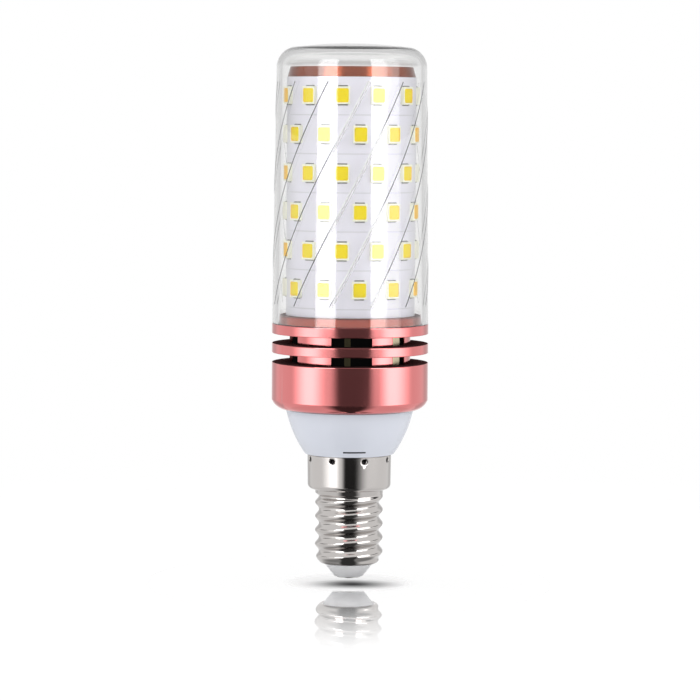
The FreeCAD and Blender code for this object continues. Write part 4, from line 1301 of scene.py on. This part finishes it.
def disc(name, radius, level, steps):
    """A flat disc round the axis at a level."""
    rim = [(radius * math.cos(turn), radius * math.sin(turn), level) for turn in even_turns(steps)]
    return mesh_from(name, rim, [list(range(steps))])


def glowing(name):
    """A bare material for the stage, and its node tree."""
    made = bpy.data.materials.new(name)
    made.use_nodes = True
    made.node_tree.nodes.clear()
    return made, made.node_tree


def show_card(name, mesh, made, level, seen_by):
    """Put a card on the stage that glows at this level, and that only one kind of ray sees.

    The floor's own mirror image is perfectly sharp, and shows the plain white room in its place.
    """
    tree = made.node_tree
    sharp = node(tree, "ShaderNodeLightPath").outputs["Is Singular Ray"]
    level = node(tree, "ShaderNodeMix", {"Factor": sharp, 2: level, 3: 1.0}).outputs[0]
    glow = node(tree, "ShaderNodeEmission", {"Color": WHITE, "Strength": level})
    node(tree, "ShaderNodeOutputMaterial", {"Surface": glow})
    mesh.materials.append(made)
    card = placed(name, mesh)
    hide(card, *({"camera", "diffuse", "glossy", "transmission", "shadow"} - {seen_by}))


def add_card(name, outer_left, inner_left, inner_right, outer_right, bottom, top, level, distance):
    """A card with soft upright edges."""
    made, tree = glowing(name)
    around = azimuth_in(tree)
    left = fade(tree, around, math.radians(outer_left), math.radians(inner_left), 0.0, level - 1.0)
    right = fade(tree, around, math.radians(inner_right), math.radians(outer_right), 1.0, 0.0)
    tone = maths(tree, "ADD", maths(tree, "MULTIPLY", left, right), 1.0)
    show_card(name, upright(name, outer_left, outer_right, bottom, top, distance), made, tone, "glossy")


def add_back_card(distance, level):
    """A card behind the bulb, which clear plastic shows: white in the middle, grey beside it and above."""
    made, tree = glowing("back_card")
    aside = maths(tree, "SUBTRACT", math.pi, maths(tree, "ABSOLUTE", azimuth_in(tree)))
    beside = fade(tree, aside, math.radians(4), math.radians(40), 1.0, level)
    above = fade(tree, place_in(tree)["Z"], 0.095, 0.16, 1.0, level)
    mesh = upright("back_card", 116.0, 244.0, -0.3, 1.5, distance)
    show_card("back_card", mesh, made, maths(tree, "MINIMUM", beside, above), "transmission")


def add_low_card(radius, level):
    """A light grey disc under the floor that mirror-like surfaces see, darker in front, with the bulb's
    shadow painted below the cap.
    """
    made, tree = glowing("low_card")
    below = distance_from(tree, place_in(tree))
    aside = maths(tree, "ABSOLUTE", azimuth_in(tree))
    # Painted shadow of the bulb below the cap, and a darker stretch in front.
    shade = maths(
        tree, "MINIMUM",
        fade(tree, below, 9 * MM, 15 * MM, 0.3, level),
        fade(tree, aside, math.radians(20), math.radians(48), 0.05, level),
    )
    show_card("low_card", disc("low_card", radius, -4 * MM, 64), made, shade, "glossy")


def make_world(ambient):
    """A white room: plain white to the camera, mirrors and glass, dimmer to dull surfaces."""
    world = bpy.data.worlds.new("white_room")
    world.use_nodes = True
    bpy.context.scene.world = world
    tree = world.node_tree
    tree.nodes.clear()
    rays = node(tree, "ShaderNodeLightPath").outputs
    seen = maths(tree, "MAXIMUM", rays["Is Camera Ray"], rays["Is Glossy Ray"])
    seen = maths(tree, "MAXIMUM", seen, rays["Is Transmission Ray"])
    seen = maths(tree, "MULTIPLY", seen, maths(tree, "LESS_THAN", rays["Diffuse Depth"], 0.5))
    dull = node(tree, "ShaderNodeBackground", {"Color": WHITE, "Strength": ambient})
    clear = node(tree, "ShaderNodeBackground", {"Color": WHITE, "Strength": 1.0})
    mixed = node(tree, "ShaderNodeMixShader", {0: seen, 1: dull, 2: clear})
    node(tree, "ShaderNodeOutputWorld", {"Surface": mixed})


def distance_from(tree, place, x=0.0, y=0.0, depth=1.0):
    """Distance on the floor from a point, where a length along Y counts this many times."""
    across = maths(tree, "SUBTRACT", place["X"], x)
    along = maths(tree, "MULTIPLY", maths(tree, "SUBTRACT", place["Y"], y), depth)
    squares = [maths(tree, "POWER", side, 2.0) for side in (across, along)]
    return maths(tree, "SQRT", maths(tree, "ADD", *squares))


def grey(tree, level):
    """The colour in which all three parts are at this level."""
    return node(tree, "ShaderNodeCombineColor", {"Red": level, "Green": level, "Blue": level}).outputs[0]


def make_floor_finish():
    """A white floor with a painted shadow, soft and dark under the tip, and a mirror image that fades out
    near it.
    """
    whiteness, glow, sharpest = 0.7, 0.36, 0.92
    made, tree = glowing("white_floor")
    place = place_in(tree)
    distance = distance_from(tree, place)
    # Painted shadow: the floor darkens round a point just beside the tip.
    painted_shadow_distance = distance_from(tree, place, 0.9 * MM, -2.4 * MM, depth=1.5)
    shade = fade(tree, painted_shadow_distance, 0.0, 12.0 * MM, 0.07, 1.0)
    returned = maths(tree, "MULTIPLY", shade, whiteness)
    dull = node(tree, "ShaderNodeBsdfDiffuse", {"Color": grey(tree, returned)})
    seen = maths(tree, "MULTIPLY", node(tree, "ShaderNodeLightPath").outputs["Is Camera Ray"], glow)
    lift = node(tree, "ShaderNodeEmission", {"Color": grey(tree, shade), "Strength": seen})
    lit = node(tree, "ShaderNodeAddShader", {0: dull, 1: lift})
    gloss = node(tree, "ShaderNodeBsdfGlossy", {"Color": WHITE, "Roughness": 0.0})
    mirror = fade(tree, distance, 15 * MM, 92 * MM, sharpest, 0.0)
    mirror = maths(tree, "MULTIPLY", mirror, fade(tree, distance, 10 * MM, 14 * MM, 0.0, 1.0))
    polished = node(tree, "ShaderNodeMixShader", {0: mirror, 1: lit, 2: gloss})
    gone = fade(tree, distance, 90 * MM, 200 * MM, 0.0, 1.0)
    clear = node(tree, "ShaderNodeBsdfTransparent")
    faded = node(tree, "ShaderNodeMixShader", {0: gone, 1: polished, 2: clear})
    node(tree, "ShaderNodeOutputMaterial", {"Surface": faded})
    return made


def add_floor(radius, level):
    """The floor, which mirror-like surfaces don't see."""
    mesh = disc("floor", radius, level, 96)
    mesh.materials.append(make_floor_finish())
    floor = placed("floor", mesh)
    hide(floor, "glossy")


def add_camera(settings):
    """The photograph's camera."""
    data = bpy.data.cameras.new("camera")
    data.lens = settings.camera_lens
    data.sensor_width = 36.0
    camera = placed("camera", data)
    place = Matrix.Translation((0.0, -settings.camera_distance, settings.camera_height))
    pitch = Matrix.Rotation(math.pi / 2 - settings.camera_pitch, 4, "X")
    lean = Matrix.Rotation(settings.camera_lean, 4, "Z")
    camera.matrix_world = place @ pitch @ lean
    return camera


class BULB_OT_stage(bpy.types.Operator):
    """Set up the floor, the room, the lamps and the camera"""

    bl_idname = "bulb.stage"
    bl_label = "Studio"

    def execute(self, context):
        settings = context.scene.bulb_studio
        make_world(settings.ambient)
        add_floor(settings.floor_radius, -settings.floor_drop)
        far = settings.lamp_distance
        for lamps, heights, level, hidden_from in (
            (STRIPS, (0.02, 0.60), settings.lamp_level, ("camera", "diffuse")),
            (FILLS, (-0.3, 0.7), settings.fill, ("camera", "glossy", "transmission")),
        ):
            for name, first, last, part in lamps:
                add_lamp(name, (first, last), far, heights, level * part, hidden_from)
        # The cards stand just inside the ring of lamps.
        near = far * 0.95
        for card in CARDS:
            add_card(*card, near)
        add_back_card(near, settings.back_level)
        add_low_card(50 * MM, settings.low_level)
        add_overhead_lamp(size=0.25, height=0.7, level=3.0)
        context.scene.camera = add_camera(settings)
        context.scene.view_settings.view_transform = "Standard"
        return {"FINISHED"}


OPERATORS = (
    BULB_OT_cover,
    BULB_OT_ribs,
    BULB_OT_leds,
    BULB_OT_board,
    BULB_OT_metal,
    BULB_OT_shell,
    BULB_OT_tip,
    BULB_OT_housing,
    BULB_OT_driver,
    BULB_OT_stage,
)


class BULB_PT_panel(bpy.types.Panel):
    """All the steps and settings of the bulb"""

    bl_idname = "BULB_PT_panel"
    bl_label = "Corn LED bulb"
    bl_space_type = "VIEW_3D"
    bl_region_type = "UI"
    bl_category = "Bulb"

    def draw(self, context):
        for operator in OPERATORS:
            self.layout.operator(operator.bl_idname)
        for name, group in GROUPS.items():
            box = self.layout.box()
            box.label(text=group.__doc__)
            for setting in group.__annotations__:
                box.prop(getattr(context.scene, name), setting)


def register():
    for group in GROUPS.values():
        bpy.utils.register_class(group)
    for name, group in GROUPS.items():
        setattr(bpy.types.Scene, name, PointerProperty(type=group))
    for operator in OPERATORS:
        bpy.utils.register_class(operator)
    bpy.utils.register_class(BULB_PT_panel)


def unregister():
    bpy.utils.unregister_class(BULB_PT_panel)
    for operator in reversed(OPERATORS):
        bpy.utils.unregister_class(operator)
    for name, group in GROUPS.items():
        delattr(bpy.types.Scene, name)
        bpy.utils.unregister_class(group)


def main():
    """Build the scene step by step."""
    register()
    for operator in OPERATORS:
        step = getattr(bpy.ops.bulb, operator.bl_idname.split(".")[1])
        if step() != {"FINISHED"}:
            raise RuntimeError(f"{operator.bl_label} didn't finish")


if __name__ == "__main__":
    main()
